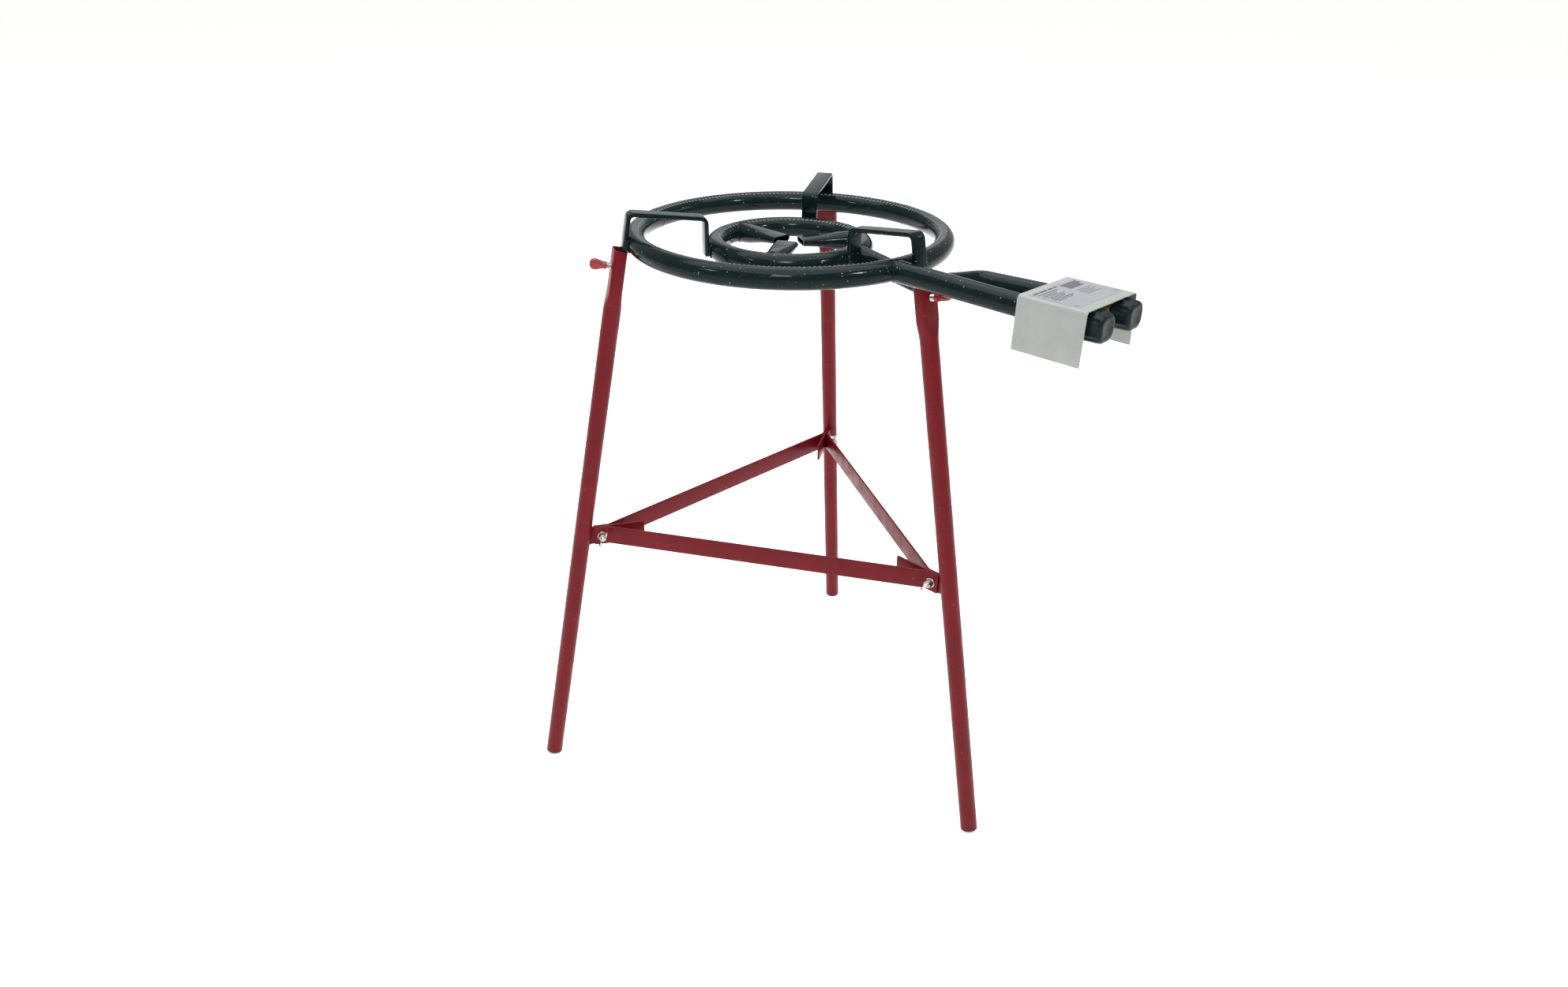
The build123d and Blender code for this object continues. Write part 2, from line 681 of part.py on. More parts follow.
def shield_bracket():
    """Upright plate that saddles both pipes and carries the shield on its top edge."""
    top = RING_Z + SHIELD_TOP - SHIELD_T
    with BuildPart() as plate:
        with BuildSketch(Plane(origin=(0, RING_Y - 363.0, top), x_dir=(1, 0, 0), z_dir=(0, -1, 0))):
            Rectangle(84.0, 17.0, align=(Align.CENTER, Align.MAX))
        extrude(amount=3.0)
        add(PIPE_RODS, mode=Mode.SUBTRACT)
    return plate


def heat_shield():
    """Sheet folded to an upside-down channel over the taps, its sides a little flared."""
    foot, half = SHIELD_W / 2 + SHIELD_FLARE, SHIELD_W / 2
    points = [(-foot, -SHIELD_H), (-half, 0), (half, 0), (foot, -SHIELD_H)]
    place = Plane(origin=(0, RING_Y - SHIELD_NEAR, RING_Z + SHIELD_TOP), x_dir=(1, 0, 0), z_dir=(0, -1, 0))
    with BuildPart() as shield:
        with BuildSketch(place):
            half_strip(points, 4.0, SHIELD_T)
        extrude(amount=SHIELD_LEN)
    return shield


def shield_label():
    """Thin printed plate on the shield's top."""
    centre = (0, RING_Y - SHIELD_NEAR - SHIELD_LEN / 2, RING_Z + SHIELD_TOP)
    with BuildPart() as label:
        with BuildSketch(Plane(origin=centre)):
            RectangleRounded(80.0, 66.0, 2.0)
        extrude(amount=0.3)
    return label


# ---------------------------------------------------------------- build and write every piece
os.makedirs("parts", exist_ok=True)
MANIFOLD_ROD = manifold_rod()
PIPE_RODS = pipe_rods()

save(flame_ring(RING_R, RING_Z, OUTER_PORTS, inlet_cutter(outer_feed_line)), "outer_ring")
save(flame_ring(INNER_R, INNER_Z, INNER_PORTS, inlet_cutter(inner_feed_line)), "inner_ring")
save(feed_pipe(outer_feed_line, OUTER_TORUS), "outer_feed_pipe")
save(feed_pipe(inner_feed_line, INNER_TORUS), "inner_feed_pipe")

names = list(LEG_BEARINGS)
for name, next_name in zip(names, names[1:] + names[:1]):
    bearing = LEG_BEARINGS[name]
    save(flame_stub(bearing + 180.0), f"flame_stub_{name}")
    save(pan_support(bearing), f"pan_support_{name}")
    save(tripod_leg(name), f"leg_{name}")
    save(foot_plug(bearing), f"foot_{name}")
    save(leg_tab(bearing), f"leg_tab_{name}")
    save(brace(name, next_name), f"brace_{name}_{next_name}")
    save(brace_washer(name), f"washer_{name}")
    save(wing_nut(name), f"wing_nut_{name}")
    save(clamp_shank(name), f"clamp_screw_{name}")
    save(clamp_head(name), f"clamp_head_{name}")
save(brace_bolts(), "brace_bolts")
save(clamp_nuts(), "clamp_nuts")

for side, ring_name in ((-1, "outer"), (1, "inner")):
    save(tap_body(side), f"{ring_name}_tap_body")
    save(tap_plug(side), f"{ring_name}_tap_plug")
    save(tap_spindle(side), f"{ring_name}_tap_spindle")
    save(tap_spring(side), f"{ring_name}_tap_spring")
    save(tap_knob(side), f"{ring_name}_tap_knob")
save(injectors(), "injectors")
save(gland_nuts(), "gland_nuts")
save(gas_manifold(), "gas_manifold")
save(hose_nozzle(), "hose_nozzle")
save(manifold_bracket(), "manifold_bracket")
save(shield_bracket(), "shield_bracket")
save(heat_shield(), "heat_shield")
save(shield_label(), "shield_label")
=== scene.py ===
"""Two-ring gas burner on a tripod stand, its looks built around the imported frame.

Shapes are worked in millimetres, in the frame's axes, and scaled to metres when a piece is finished.
Bearings are degrees anticlockwise from +X about the rings' axis, heights are above the floor.
"""

import json
import logging
from dataclasses import dataclass
from enum import Enum
from math import acos, cos, degrees, hypot, pi, radians, sin, sqrt, tan
from typing import Any, Callable, Iterable, Sequence

import bmesh
import bpy
from bmesh.types import BMesh
from mathutils import Matrix, Vector


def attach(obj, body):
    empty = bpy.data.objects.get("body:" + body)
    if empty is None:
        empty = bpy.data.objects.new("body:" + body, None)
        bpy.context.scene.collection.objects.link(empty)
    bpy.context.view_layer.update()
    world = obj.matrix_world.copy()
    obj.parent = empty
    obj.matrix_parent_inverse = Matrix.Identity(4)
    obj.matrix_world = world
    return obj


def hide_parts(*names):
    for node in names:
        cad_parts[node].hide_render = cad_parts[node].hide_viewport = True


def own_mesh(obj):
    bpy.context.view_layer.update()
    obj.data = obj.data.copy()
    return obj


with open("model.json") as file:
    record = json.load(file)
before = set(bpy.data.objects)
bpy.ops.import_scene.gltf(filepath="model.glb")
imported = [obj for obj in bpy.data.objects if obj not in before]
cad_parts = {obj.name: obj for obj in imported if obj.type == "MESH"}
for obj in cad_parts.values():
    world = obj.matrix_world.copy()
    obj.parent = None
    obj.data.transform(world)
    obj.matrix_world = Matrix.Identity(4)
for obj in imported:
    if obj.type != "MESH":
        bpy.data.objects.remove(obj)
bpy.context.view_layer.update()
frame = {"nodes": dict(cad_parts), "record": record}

MM = 0.001
STAND = "stand"
RING_Y = 125.0
RING_Z = 730.0
RING_R = 187.5
TUBE_R = 12.5
INNER_R = 90.0
INNER_Z = 718.0
TAP_Z = 727.0
SPLAY = 10.8
FEED_SIDE = 27.0
FEED_R = 12.25
FOOT_R = 345.59
LEG_LEN = 738.07
OUTER_PORTS = 210
INNER_PORTS = 96
# each feed pipe's corners: reach from the rings' axis and height above the large ring's
OUTER_FEED = ((186.0, 0.0), (372.0, -3.0))
INNER_FEED = ((85.9, -12.0), (190.0, -28.0), (266.0, -6.5), (372.0, -3.0))

log = logging.getLogger("burner")
Pair = tuple[float, float]


class Leg(Enum):
    """The three legs, each with its bearing."""

    FRONT = -90.0
    RIGHT = 30.0
    LEFT = 150.0

    @property
    def word(self) -> str:
        """The leg's name as the frame spells it."""
        return self.name.lower()


@dataclass(frozen=True)
class Fittings:
    """What differs from leg to leg: turns are in degrees, and the drop is below the large ring's axis."""

    nut_side: int
    nut_turn: float
    head_turn: float
    screw_drop: float


FITTINGS = {Leg.FRONT: Fittings(-1, 55.0, 80.0, 31.0), Leg.RIGHT: Fittings(-1, 15.0, 35.0, 26.0),
            Leg.LEFT: Fittings(1, 60.0, 0.0, 25.5)}


class Slot(Enum):
    """The record's material slots."""

    ENAMEL = "speckled_enamel"
    RED = "red_paint"
    ZINC = "zinc"
    BRASS = "brass"
    WHITE = "white_paint"
    KNOB = "black_plastic"
    HEAD = "red_plastic"
    FOOT = "foot_plastic"
    SPRING = "spring_steel"
    LABEL = "label"


# ---------------------------------------------------------------- materials
def linear(code: str) -> tuple[float, float, float, float]:
    """Turn an sRGB hex colour into the linear one that nodes take.

    Args:
        code: six hex digits.

    Returns:
        Linear red, green, blue and an alpha of 1.
    """
    parts = [int(code[i:i + 2], 16) / 255 for i in (0, 2, 4)]
    red, green, blue = (c / 12.92 if c <= 0.04045 else ((c + 0.055) / 1.055) ** 2.4 for c in parts)
    return (red, green, blue, 1.0)


def per_mm(size: float) -> float:
    """Texture scale, in cells per metre, of a feature that is this many millimetres across."""
    return 1.0 / (size * MM)


def add_node(tree: bpy.types.NodeTree, kind: str, settings: dict[Any, Any] | None = None,
             links: dict[Any, bpy.types.NodeSocket] | None = None) -> bpy.types.Node:
    """Add a node with its settings and its incoming links.

    Args:
        tree: the material's node tree.
        kind: the node's type, without its ShaderNode prefix.
        settings: values by property name, or by the name or number of an input.
        links: outputs to join, by the name or number of this node's input.

    Returns:
        The new node.
    """
    node = tree.nodes.new("ShaderNode" + kind)
    for key, value in (settings or {}).items():
        if isinstance(key, str) and key.islower():
            setattr(node, key, value)
        else:
            node.inputs[key].default_value = value
    for key, socket in (links or {}).items():
        tree.links.new(socket, node.inputs[key])
    return node


@dataclass(frozen=True)
class Finish:
    """A surface finish: one plain material that its kinds add their own pattern to."""

    name: str
    colour: str
    roughness: float = 0.4
    metallic: float = 0.0
    specular: float = 0.5
    glow: float = 0.0

    def material(self) -> bpy.types.Material:
        """Make the material once, and return it."""
        made = bpy.data.materials.get(self.name)
        if made:
            return made
        made = bpy.data.materials.new(self.name)
        made.use_nodes = True
        tree = made.node_tree
        tree.nodes.clear()
        shader = add_node(tree, "BsdfPrincipled", {
            "Base Color": linear(self.colour), "Roughness": self.roughness,
            "Metallic": self.metallic, "Specular IOR Level": self.specular,
            "Emission Color": linear(self.colour), "Emission Strength": self.glow})
        add_node(tree, "OutputMaterial", links={"Surface": shader.outputs["BSDF"]})
        made.diffuse_color = linear(self.colour)
        self.pattern(tree, shader, add_node(tree, "TexCoord").outputs["Object"])
        return made

    def pattern(self, tree: bpy.types.NodeTree, shader: bpy.types.Node,
                place: bpy.types.NodeSocket) -> None:
        """Add what this finish shows beyond its plain colour.

        Args:
            tree: the material's node tree.
            shader: its Principled node.
            place: object coordinates, in metres.
        """

    def noise(self, tree: bpy.types.NodeTree, place: bpy.types.NodeSocket, size: float,
              detail: float = 2.0) -> bpy.types.NodeSocket:
        """Noise with features about size millimetres across."""
        texture = add_node(tree, "TexNoise", {"Scale": per_mm(size), "Detail": detail}, {"Vector": place})
        return texture.outputs["Fac"]

    def spread(self, tree: bpy.types.NodeTree, source: bpy.types.NodeSocket,
               low: float, high: float) -> bpy.types.NodeSocket:
        """Map the middle of a noise onto the range from low to high."""
        return add_node(tree, "MapRange", {"From Min": 0.3, "From Max": 0.7, "To Min": low,
                                           "To Max": high}, {"Value": source}).outputs["Result"]

    def bump(self, tree: bpy.types.NodeTree, shader: bpy.types.Node, height: bpy.types.NodeSocket,
             depth: float, strength: float = 1.0) -> None:
        """Raise the surface by a height, depth millimetres deep."""
        made = add_node(tree, "Bump", {"Strength": strength, "Distance": depth * MM}, {"Height": height})
        tree.links.new(made.outputs["Normal"], shader.inputs["Normal"])

    def tint(self, tree: bpy.types.NodeTree, share: bpy.types.NodeSocket, first: str | bpy.types.NodeSocket,
             second: str) -> bpy.types.NodeSocket:
        """Mix from one colour to another by a share from 0 to 1."""
        mix = add_node(tree, "Mix", {"data_type": "RGBA", 7: linear(second)}, {0: share})
        if isinstance(first, str):
            mix.inputs[6].default_value = linear(first)
        else:
            tree.links.new(first, mix.inputs[6])
        return mix.outputs[2]


@dataclass(frozen=True)
class SpeckledEnamel(Finish):
    """Black vitreous enamel, fired glass with white flecks: hard reflections on a near-black ground."""

    fleck: str = "8f9892"

    def flecks(self, tree: bpy.types.NodeTree, place: bpy.types.NodeSocket, spacing: float,
               largest: float) -> bpy.types.NodeSocket:
        """Round flecks of uneven size, one or none to each cell.

        Args:
            tree: the material's node tree.
            place: object coordinates.
            spacing: millimetres from one cell to the next.
            largest: radius of the largest fleck, in millimetres.

        Returns:
            1 inside a fleck, 0 outside.
        """
        cells = add_node(tree, "TexVoronoi", {"Scale": per_mm(spacing)}, {"Vector": place})
        chance = add_node(tree, "SeparateColor", links={0: cells.outputs["Color"]}).outputs[0]
        radius = add_node(tree, "MapRange", {"From Min": 0.45, "To Min": 0.0, "To Max": largest / spacing},
                          {"Value": chance})
        return add_node(tree, "Math", {"operation": "LESS_THAN"},
                        {0: cells.outputs["Distance"], 1: radius.outputs["Result"]}).outputs[0]

    def pattern(self, tree: bpy.types.NodeTree, shader: bpy.types.Node,
                place: bpy.types.NodeSocket) -> None:
        """Two sizes of fleck, a cloudy ground, and the slow ripple of a poured glaze."""
        ground = self.tint(tree, self.noise(tree, place, 18.0), self.colour, "101e1f")
        fine = self.tint(tree, self.flecks(tree, place, 2.2, 0.4), ground, "525c59")
        coarse = self.tint(tree, self.flecks(tree, place, 4.6, 0.72), fine, self.fleck)
        tree.links.new(coarse, shader.inputs["Base Color"])
        rough = self.spread(tree, self.noise(tree, place, 12.0), self.roughness - 0.04, self.roughness + 0.1)
        tree.links.new(rough, shader.inputs["Roughness"])
        self.bump(tree, shader, self.noise(tree, place, 5.0, 1.0), 0.25, 0.35)


@dataclass(frozen=True)
class GlossPaint(Finish):
    """Red gloss paint on steel tube: an even coat with orange peel, thinner and darker in patches."""

    thin: str = "4f0a12"
    peel: float = 1.6

    def pattern(self, tree: bpy.types.NodeTree, shader: bpy.types.Node,
                place: bpy.types.NodeSocket) -> None:
        """Patchy depth of colour, rubbed dull spots, dust and the orange peel of a sprayed coat."""
        patches = self.spread(tree, self.noise(tree, place, 60.0, 5.0), 0.0, 0.45)
        ground = self.tint(tree, patches, self.colour, self.thin)
        rubs = add_node(tree, "MapRange", {"From Min": 0.66, "From Max": 0.74, "To Max": 0.5},
                        {"Value": self.noise(tree, place, 9.0, 6.0)}).outputs["Result"]
        tree.links.new(self.tint(tree, rubs, ground, "8d3a42"), shader.inputs["Base Color"])
        rough = self.spread(tree, self.noise(tree, place, 22.0, 4.0), self.roughness - 0.06,
                            self.roughness + 0.16)
        tree.links.new(rough, shader.inputs["Roughness"])
        self.bump(tree, shader, self.noise(tree, place, self.peel, 1.0), 0.12, 0.3)


@dataclass(frozen=True)
class PowderCoat(Finish):
    """White baked powder coat on folded sheet: soft gloss, fine orange peel, a little grime."""

    grime: str = "b9beb8"

    def pattern(self, tree: bpy.types.NodeTree, shader: bpy.types.Node,
                place: bpy.types.NodeSocket) -> None:
        """Cloudy handling marks and the fine skin of baked powder."""
        marks = self.spread(tree, self.noise(tree, place, 28.0, 6.0), 0.0, 0.55)
        tree.links.new(self.tint(tree, marks, self.colour, self.grime), shader.inputs["Base Color"])
        rough = self.spread(tree, self.noise(tree, place, 14.0, 3.0), self.roughness - 0.08,
                            self.roughness + 0.12)
        tree.links.new(rough, shader.inputs["Roughness"])
        self.bump(tree, shader, self.noise(tree, place, 1.1, 2.0), 0.1, 0.35)


@dataclass(frozen=True)
class Metal(Finish):
    """Bare or plated metal, cut or drawn: blurred reflections, stains, and fine scratches."""

    stain: str = "7d7b77"
    grain: float = 0.5

    def pattern(self, tree: bpy.types.NodeTree, shader: bpy.types.Node,
                place: bpy.types.NodeSocket) -> None:
        """Stains, uneven polish, and scratches drawn out along Z."""
        stains = self.spread(tree, self.noise(tree, place, 7.0, 5.0), 0.0, 0.6)
        tree.links.new(self.tint(tree, stains, self.colour, self.stain), shader.inputs["Base Color"])
        drawn = add_node(tree, "Mapping", {"Scale": (1.0, 1.0, 0.12)}, {"Vector": place})
        scratches = self.noise(tree, drawn.outputs["Vector"], self.grain, 3.0)
        tree.links.new(self.spread(tree, scratches, self.roughness - 0.07, self.roughness + 0.13),
                       shader.inputs["Roughness"])
        self.bump(tree, shader, scratches, 0.03, 0.4)


@dataclass(frozen=True)
class Moulded(Finish):
    """Moulded plastic: the fine matt skin of a spark-eroded mould, rubbed smoother where it is held."""

    worn: str = "2a3231"
    skin: float = 0.5

    def pattern(self, tree: bpy.types.NodeTree, shader: bpy.types.Node,
                place: bpy.types.NodeSocket) -> None:
        """Fine skin, rubbed patches and a faint bloom."""
        rubbed = self.spread(tree, self.noise(tree, place, 11.0, 4.0), 0.0, 0.7)
        tree.links.new(self.tint(tree, rubbed, self.colour, self.worn), shader.inputs["Base Color"])
        tree.links.new(self.spread(tree, self.noise(tree, place, 6.0, 3.0), self.roughness - 0.08,
                                   self.roughness + 0.12), shader.inputs["Roughness"])
        self.bump(tree, shader, self.noise(tree, place, self.skin, 2.0), 0.05, 0.4)


# Vitreous enamel: ground glass fired on steel. Near-black and hard, so small lamps show as sharp dashes.
ENAMEL = SpeckledEnamel("black vitreous enamel", "081719", roughness=0.1, specular=0.12)
# Enamel burnt thin round each port: pale, dull, hardly metallic.
BARE_RIM = Metal("burnt enamel rim", "8f9893", roughness=0.45, metallic=0.1, stain="59625e")
# Painted shade inside the ports: black, without any gloss, on their walls and closed floors, standing in for
# the dark hole into the hollow tube.
PORT_SHADE = Finish("painted shade in a bore", "070808", roughness=0.9)
# Sprayed alkyd gloss over tube: deep red with soft highlights and a little orange peel.
RED = GlossPaint("red gloss paint", "6f0e18", roughness=0.3, specular=0.15)
# Bright zinc plate on screws and nuts: a light grey metal, cloudy in patches.
ZINC = Metal("bright zinc plate", "c2c0bb", roughness=0.3, metallic=1.0, stain="918f8b")
# Turned brass gone dull in use: olive yellow, with brown stains.
BRASS = Metal("turned brass", "94854f", roughness=0.34, metallic=1.0, stain="5f5733")
# Baked powder coat on folded steel: an even cool white with a fine skin.
WHITE = PowderCoat("white powder coat", "9b9f9c", roughness=0.42, grime="8a8f8b")
# Compression-moulded phenolic knobs: black, half matt.
BLACK = Moulded("moulded black phenolic", "071517", roughness=0.3, specular=0.14, worn="122021")
# Injection-moulded screw heads: a brighter red than the paint, rubbed paler where they are gripped.
RED_PLASTIC = Moulded("moulded red plastic", "7f131b", roughness=0.3, worn="98242c", skin=0.8)
# Polyethylene foot plugs: dark grey, waxy and scuffed.
FOOT = Moulded("moulded black polyethylene", "15181a", roughness=0.5, worn="2b2e30")
# Hard-drawn spring wire: bright steel.
SPRING = Metal("bright spring wire", "a7a7a5", roughness=0.28, metallic=1.0)
# Coated label stock: pale grey, with a soft sheen.
PLATE = PowderCoat("printed label stock", "94979b", roughness=0.36, grime="85888d")
# Its print: dark grey, flat.
INK = Finish("grey printing ink", "36333d", roughness=0.5)

SLOT_FINISH = {Slot.ENAMEL: ENAMEL, Slot.RED: RED, Slot.ZINC: ZINC, Slot.BRASS: BRASS, Slot.WHITE: WHITE,
               Slot.KNOB: BLACK, Slot.HEAD: RED_PLASTIC, Slot.FOOT: FOOT, Slot.SPRING: SPRING,
               Slot.LABEL: PLATE}


# ---------------------------------------------------------------- places
def axes(origin: Vector, x_axis: Vector, z_axis: Vector) -> Matrix:
    """Place with the given local X and Z.

    Args:
        origin: where local zero goes, in millimetres.
        x_axis: direction of local X.
        z_axis: direction of local Z, at right angles to it.

    Returns:
        The matrix from local to the frame.
    """
    x, z = x_axis.normalized(), z_axis.normalized()
    place = Matrix((x, z.cross(x), z)).transposed().to_4x4()
    place.translation = origin
    return place


def outward(bearing: float) -> Vector:
    """Level direction away from the rings' axis at a bearing."""
    return Vector((cos(radians(bearing)), sin(radians(bearing)), 0))


def ring_place(height: float) -> Matrix:
    """Level place on the rings' axis."""
    return Matrix.Translation((0, RING_Y, height))


def bearing_place(bearing: float, height: float) -> Matrix:
    """Upright place on the rings' axis: local X outwards, Y up, Z clockwise."""
    out = outward(bearing)
    return axes(Vector((0, RING_Y, height)), out, Vector((out.y, -out.x, 0)))


def leg_place(bearing: float, along: float = 0.0) -> Matrix:
    """Place across a leg's axis: local X anticlockwise, Y inwards, Z up the leg."""
    out = outward(bearing)
    up = Vector((-sin(radians(SPLAY)) * out.x, -sin(radians(SPLAY)) * out.y, cos(radians(SPLAY))))
    return axes(Vector((0, RING_Y, 0)) + out * FOOT_R + up * along, Vector((-out.y, out.x, 0)), up)


def tap_place(side: int, reach: float) -> Matrix:
    """Place across a tap's axis, facing the cook: local X to the right, Y up, Z outwards."""
    return axes(Vector((side * FEED_SIDE, RING_Y - reach, TAP_Z)), Vector((1, 0, 0)), Vector((0, -1, 0)))


def turned(place: Matrix, angle: float) -> Matrix:
    """The same place, turned about its own Z by degrees."""
    return place @ Matrix.Rotation(radians(angle), 4, "Z")


def moved(place: Matrix, height: float) -> Matrix:
    """The same place, shifted along its own Z."""
    return place @ Matrix.Translation((0, 0, height))


# ---------------------------------------------------------------- shaping
def joined(parts: Iterable[BMesh]) -> BMesh:
    """Put several shapes into one and free them."""
    whole = bmesh.new()
    for part in parts:
        scratch = bpy.data.meshes.new("scratch")
        part.to_mesh(scratch)
        part.free()
        whole.from_mesh(scratch)
        bpy.data.meshes.remove(scratch)
    return whole


def placed(shape: BMesh, place: Matrix) -> BMesh:
    """Move a shape from its own axes to a place."""
    shape.transform(place)
    return shape


def painted(shape: BMesh, number: int) -> BMesh:
    """Give every face of a shape one of its piece's materials."""
    for face in shape.faces:
        face.material_index = number
    return shape


def round_edges(shape: BMesh, width: float, segments: int = 2, sharper: float = 50.0,
                test: Callable[[bmesh.types.BMEdge], bool] | None = None) -> BMesh:
    """Bevel the edges of a shape that turn sharply.

    Args:
        shape: what to bevel.
        width: how far each bevel reaches, in millimetres.
        segments: steps across a bevel.
        sharper: least turn of an edge, in degrees.
        test: which of those edges to take, or all of them.

    Returns:
        The same shape.
    """
    shape.normal_update()
    edges = [e for e in shape.edges if len(e.link_faces) == 2
             and e.calc_face_angle(0.0) > radians(sharper) and (test is None or test(e))]
    bmesh.ops.bevel(shape, geom=edges, offset=width, offset_type="OFFSET", segments=segments,
                    profile=0.5, affect="EDGES", material=-1, clamp_overlap=True)
    return shape


def turning(profile: Sequence[Pair], steps: int = 48, closed: bool = False) -> BMesh:
    """Turn a profile about Z, as on a lathe.

    Args:
        profile: radius and height of each corner, in order.
        steps: divisions round the axis.
        closed: whether the last corner joins the first, as on a washer.

    Returns:
        A closed shape.
    """
    shape = bmesh.new()
    corners = [shape.verts.new((radius, 0, height)) for radius, height in profile]
    pairs = list(zip(corners, corners[1:])) + ([(corners[-1], corners[0])] if closed else [])
    edges = [shape.edges.new(pair) for pair in pairs]
    bmesh.ops.spin(shape, geom=corners + edges, cent=(0, 0, 0), axis=(0, 0, 1), angle=2 * pi,
                   steps=steps, use_merge=True)
    bmesh.ops.remove_doubles(shape, verts=shape.verts, dist=1e-4)
    bmesh.ops.dissolve_degenerate(shape, edges=shape.edges, dist=1e-5)
    bmesh.ops.recalc_face_normals(shape, faces=shape.faces)
    return shape


def slab(outline: Sequence[Pair], low: float, high: float) -> BMesh:
    """Flat shape with a given outline, from one height to another.

    Args:
        outline: corners in the local XY plane.
        low: height of its lower face.
        high: height of its upper face.

    Returns:
        A closed shape.
    """
    shape = bmesh.new()
    face = shape.faces.new([shape.verts.new((x, y, low)) for x, y in outline])
    grown = bmesh.ops.extrude_face_region(shape, geom=[face], use_keep_orig=True)
    bmesh.ops.translate(shape, verts=[v for v in grown["geom"] if isinstance(v, bmesh.types.BMVert)],
                        vec=(0, 0, high - low))
    bmesh.ops.recalc_face_normals(shape, faces=shape.faces)
    return shape


def hexagon(across: float) -> list[Pair]:
    """Corners of a hexagon that is this wide across its flats."""
    return [(across / sqrt(3) * cos(radians(60 * i + 30)), across / sqrt(3) * sin(radians(60 * i + 30)))
            for i in range(6)]


def box_outline(width: float, height: float) -> list[Pair]:
    """Corners of a rectangle about zero."""
    return [(-width / 2, -height / 2), (width / 2, -height / 2), (width / 2, height / 2),
            (-width / 2, height / 2)]


def section(shape: BMesh, place: Matrix, width: float, depth: float, corner: float,
            segments: int) -> list[bmesh.types.BMEdge]:
    """Draw one rounded-rectangle loop: a circle whose quarters are moved apart.

    Args:
        shape: where to draw it.
        place: the plane to draw it in.
        width: along local X.
        depth: along local Y.
        corner: corner radius; half the width and depth gives a circle.
        segments: sides of the loop, a multiple of 4.

    Returns:
        The loop's edges.
    """
    corner = min(corner, width / 2, depth / 2)
    start = Matrix.Rotation(pi / segments, 4, "Z")
    loop = bmesh.ops.create_circle(shape, cap_ends=False, radius=corner, segments=segments,
                                   matrix=start)["verts"]
    for vert in loop:
        across = width / 2 - corner if vert.co.x > 0 else corner - width / 2
        along = depth / 2 - corner if vert.co.y > 0 else corner - depth / 2
        vert.co += Vector((across, along, 0))
    bmesh.ops.transform(shape, verts=loop, matrix=place)
    inside = set(loop)
    return [e for e in shape.edges if e.verts[0] in inside and e.verts[1] in inside]


@dataclass
class Station:
    """One cross-section of a loft."""

    place: Matrix
    width: float
    depth: float
    corner: float


def loft(stations: Sequence[Station], segments: int = 32, wall: float = 0.0,
         capped: tuple[bool, bool] = (True, True)) -> BMesh:
    """Skin a row of sections, solid or as a tube.

    Args:
        stations: the sections, in order.
        segments: sides of each section.
        wall: thickness of the tube's wall, or 0 for a solid.
        capped: for a tube, whether its first and last end are closed by its rim.

    Returns:
        The shape, open only where an end isn't capped.
    """
    shape = bmesh.new()
    outside = [section(shape, s.place, s.width, s.depth, s.corner, segments) for s in stations]
    for first, second in zip(outside, outside[1:]):
        bmesh.ops.bridge_loops(shape, edges=first + second)
    if wall:
        inside = [section(shape, s.place, s.width - 2 * wall, s.depth - 2 * wall,
                          max(s.corner - wall, 0.4), segments) for s in stations]
        for first, second in zip(inside, inside[1:]):
            bmesh.ops.bridge_loops(shape, edges=first + second)
        for wanted, end in zip(capped, (0, -1)):
            if wanted:
                bmesh.ops.bridge_loops(shape, edges=outside[end] + inside[end])
    else:
        bmesh.ops.holes_fill(shape, edges=shape.edges, sides=0)
    bmesh.ops.recalc_face_normals(shape, faces=shape.faces)
    return shape


def bent_line(corners: Sequence[Vector], radius: float, segments: int = 8) -> list[Vector]:
    """Round the inner corners of a line.

    Args:
        corners: the line's corners.
        radius: radius of every bend, in millimetres.
        segments: steps round each bend.

    Returns:
        Points along the line, the bends included.
    """
    wire = bmesh.new()
    verts = [wire.verts.new(c) for c in corners]
    for pair in zip(verts, verts[1:]):
        wire.edges.new(pair)
    for before, vert, after in zip(corners, verts[1:-1], corners[2:]):
        turn = (vert.co - before).angle(after - vert.co)
        bmesh.ops.bevel(wire, geom=[vert], offset=radius * tan(turn / 2), offset_type="OFFSET",
                        segments=segments, profile=0.5, affect="VERTICES", material=-1)
    here = min((v for v in wire.verts if len(v.link_edges) == 1), key=lambda v: (v.co - corners[0]).length)
    points, came = [here.co.copy()], None
    while True:
        ahead = [e for e in here.link_edges if e is not came]
        if not ahead:
            break
        came = ahead[0]
        here = came.other_vert(here)
        points.append(here.co.copy())
    wire.free()
    return points


def bent_bar(corners: Sequence[Pair], radius: float, thickness: float, width: float,
             bevel: float, inwards: int = 1) -> BMesh:
    """Flat bar bent along a line in local XY, its width along local Z.

    Args:
        corners: the line that one face of the bar follows.
        radius: radius of every bend on that line.
        thickness: how thick the bar is.
        width: how wide it is, half each way.
        bevel: how far its long edges are rounded.
        inwards: 1 or -1, the side of the line that the bar lies on.

    Returns:
        A closed shape.
    """
    points = bent_line([Vector((x, y, 0)) for x, y in corners], radius)
    shape = bmesh.new()
    verts = [shape.verts.new(p - Vector((0, 0, width / 2))) for p in points]
    edges = [shape.edges.new(pair) for pair in zip(verts, verts[1:])]
    grown = bmesh.ops.extrude_edge_only(shape, edges=edges)["geom"]
    bmesh.ops.translate(shape, verts=[v for v in grown if isinstance(v, bmesh.types.BMVert)],
                        vec=(0, 0, width))
    shape.normal_update()
    bmesh.ops.solidify(shape, geom=shape.faces[:], thickness=inwards * thickness)
    bmesh.ops.recalc_face_normals(shape, faces=shape.faces)
    return round_edges(shape, bevel, 3, sharper=60.0)


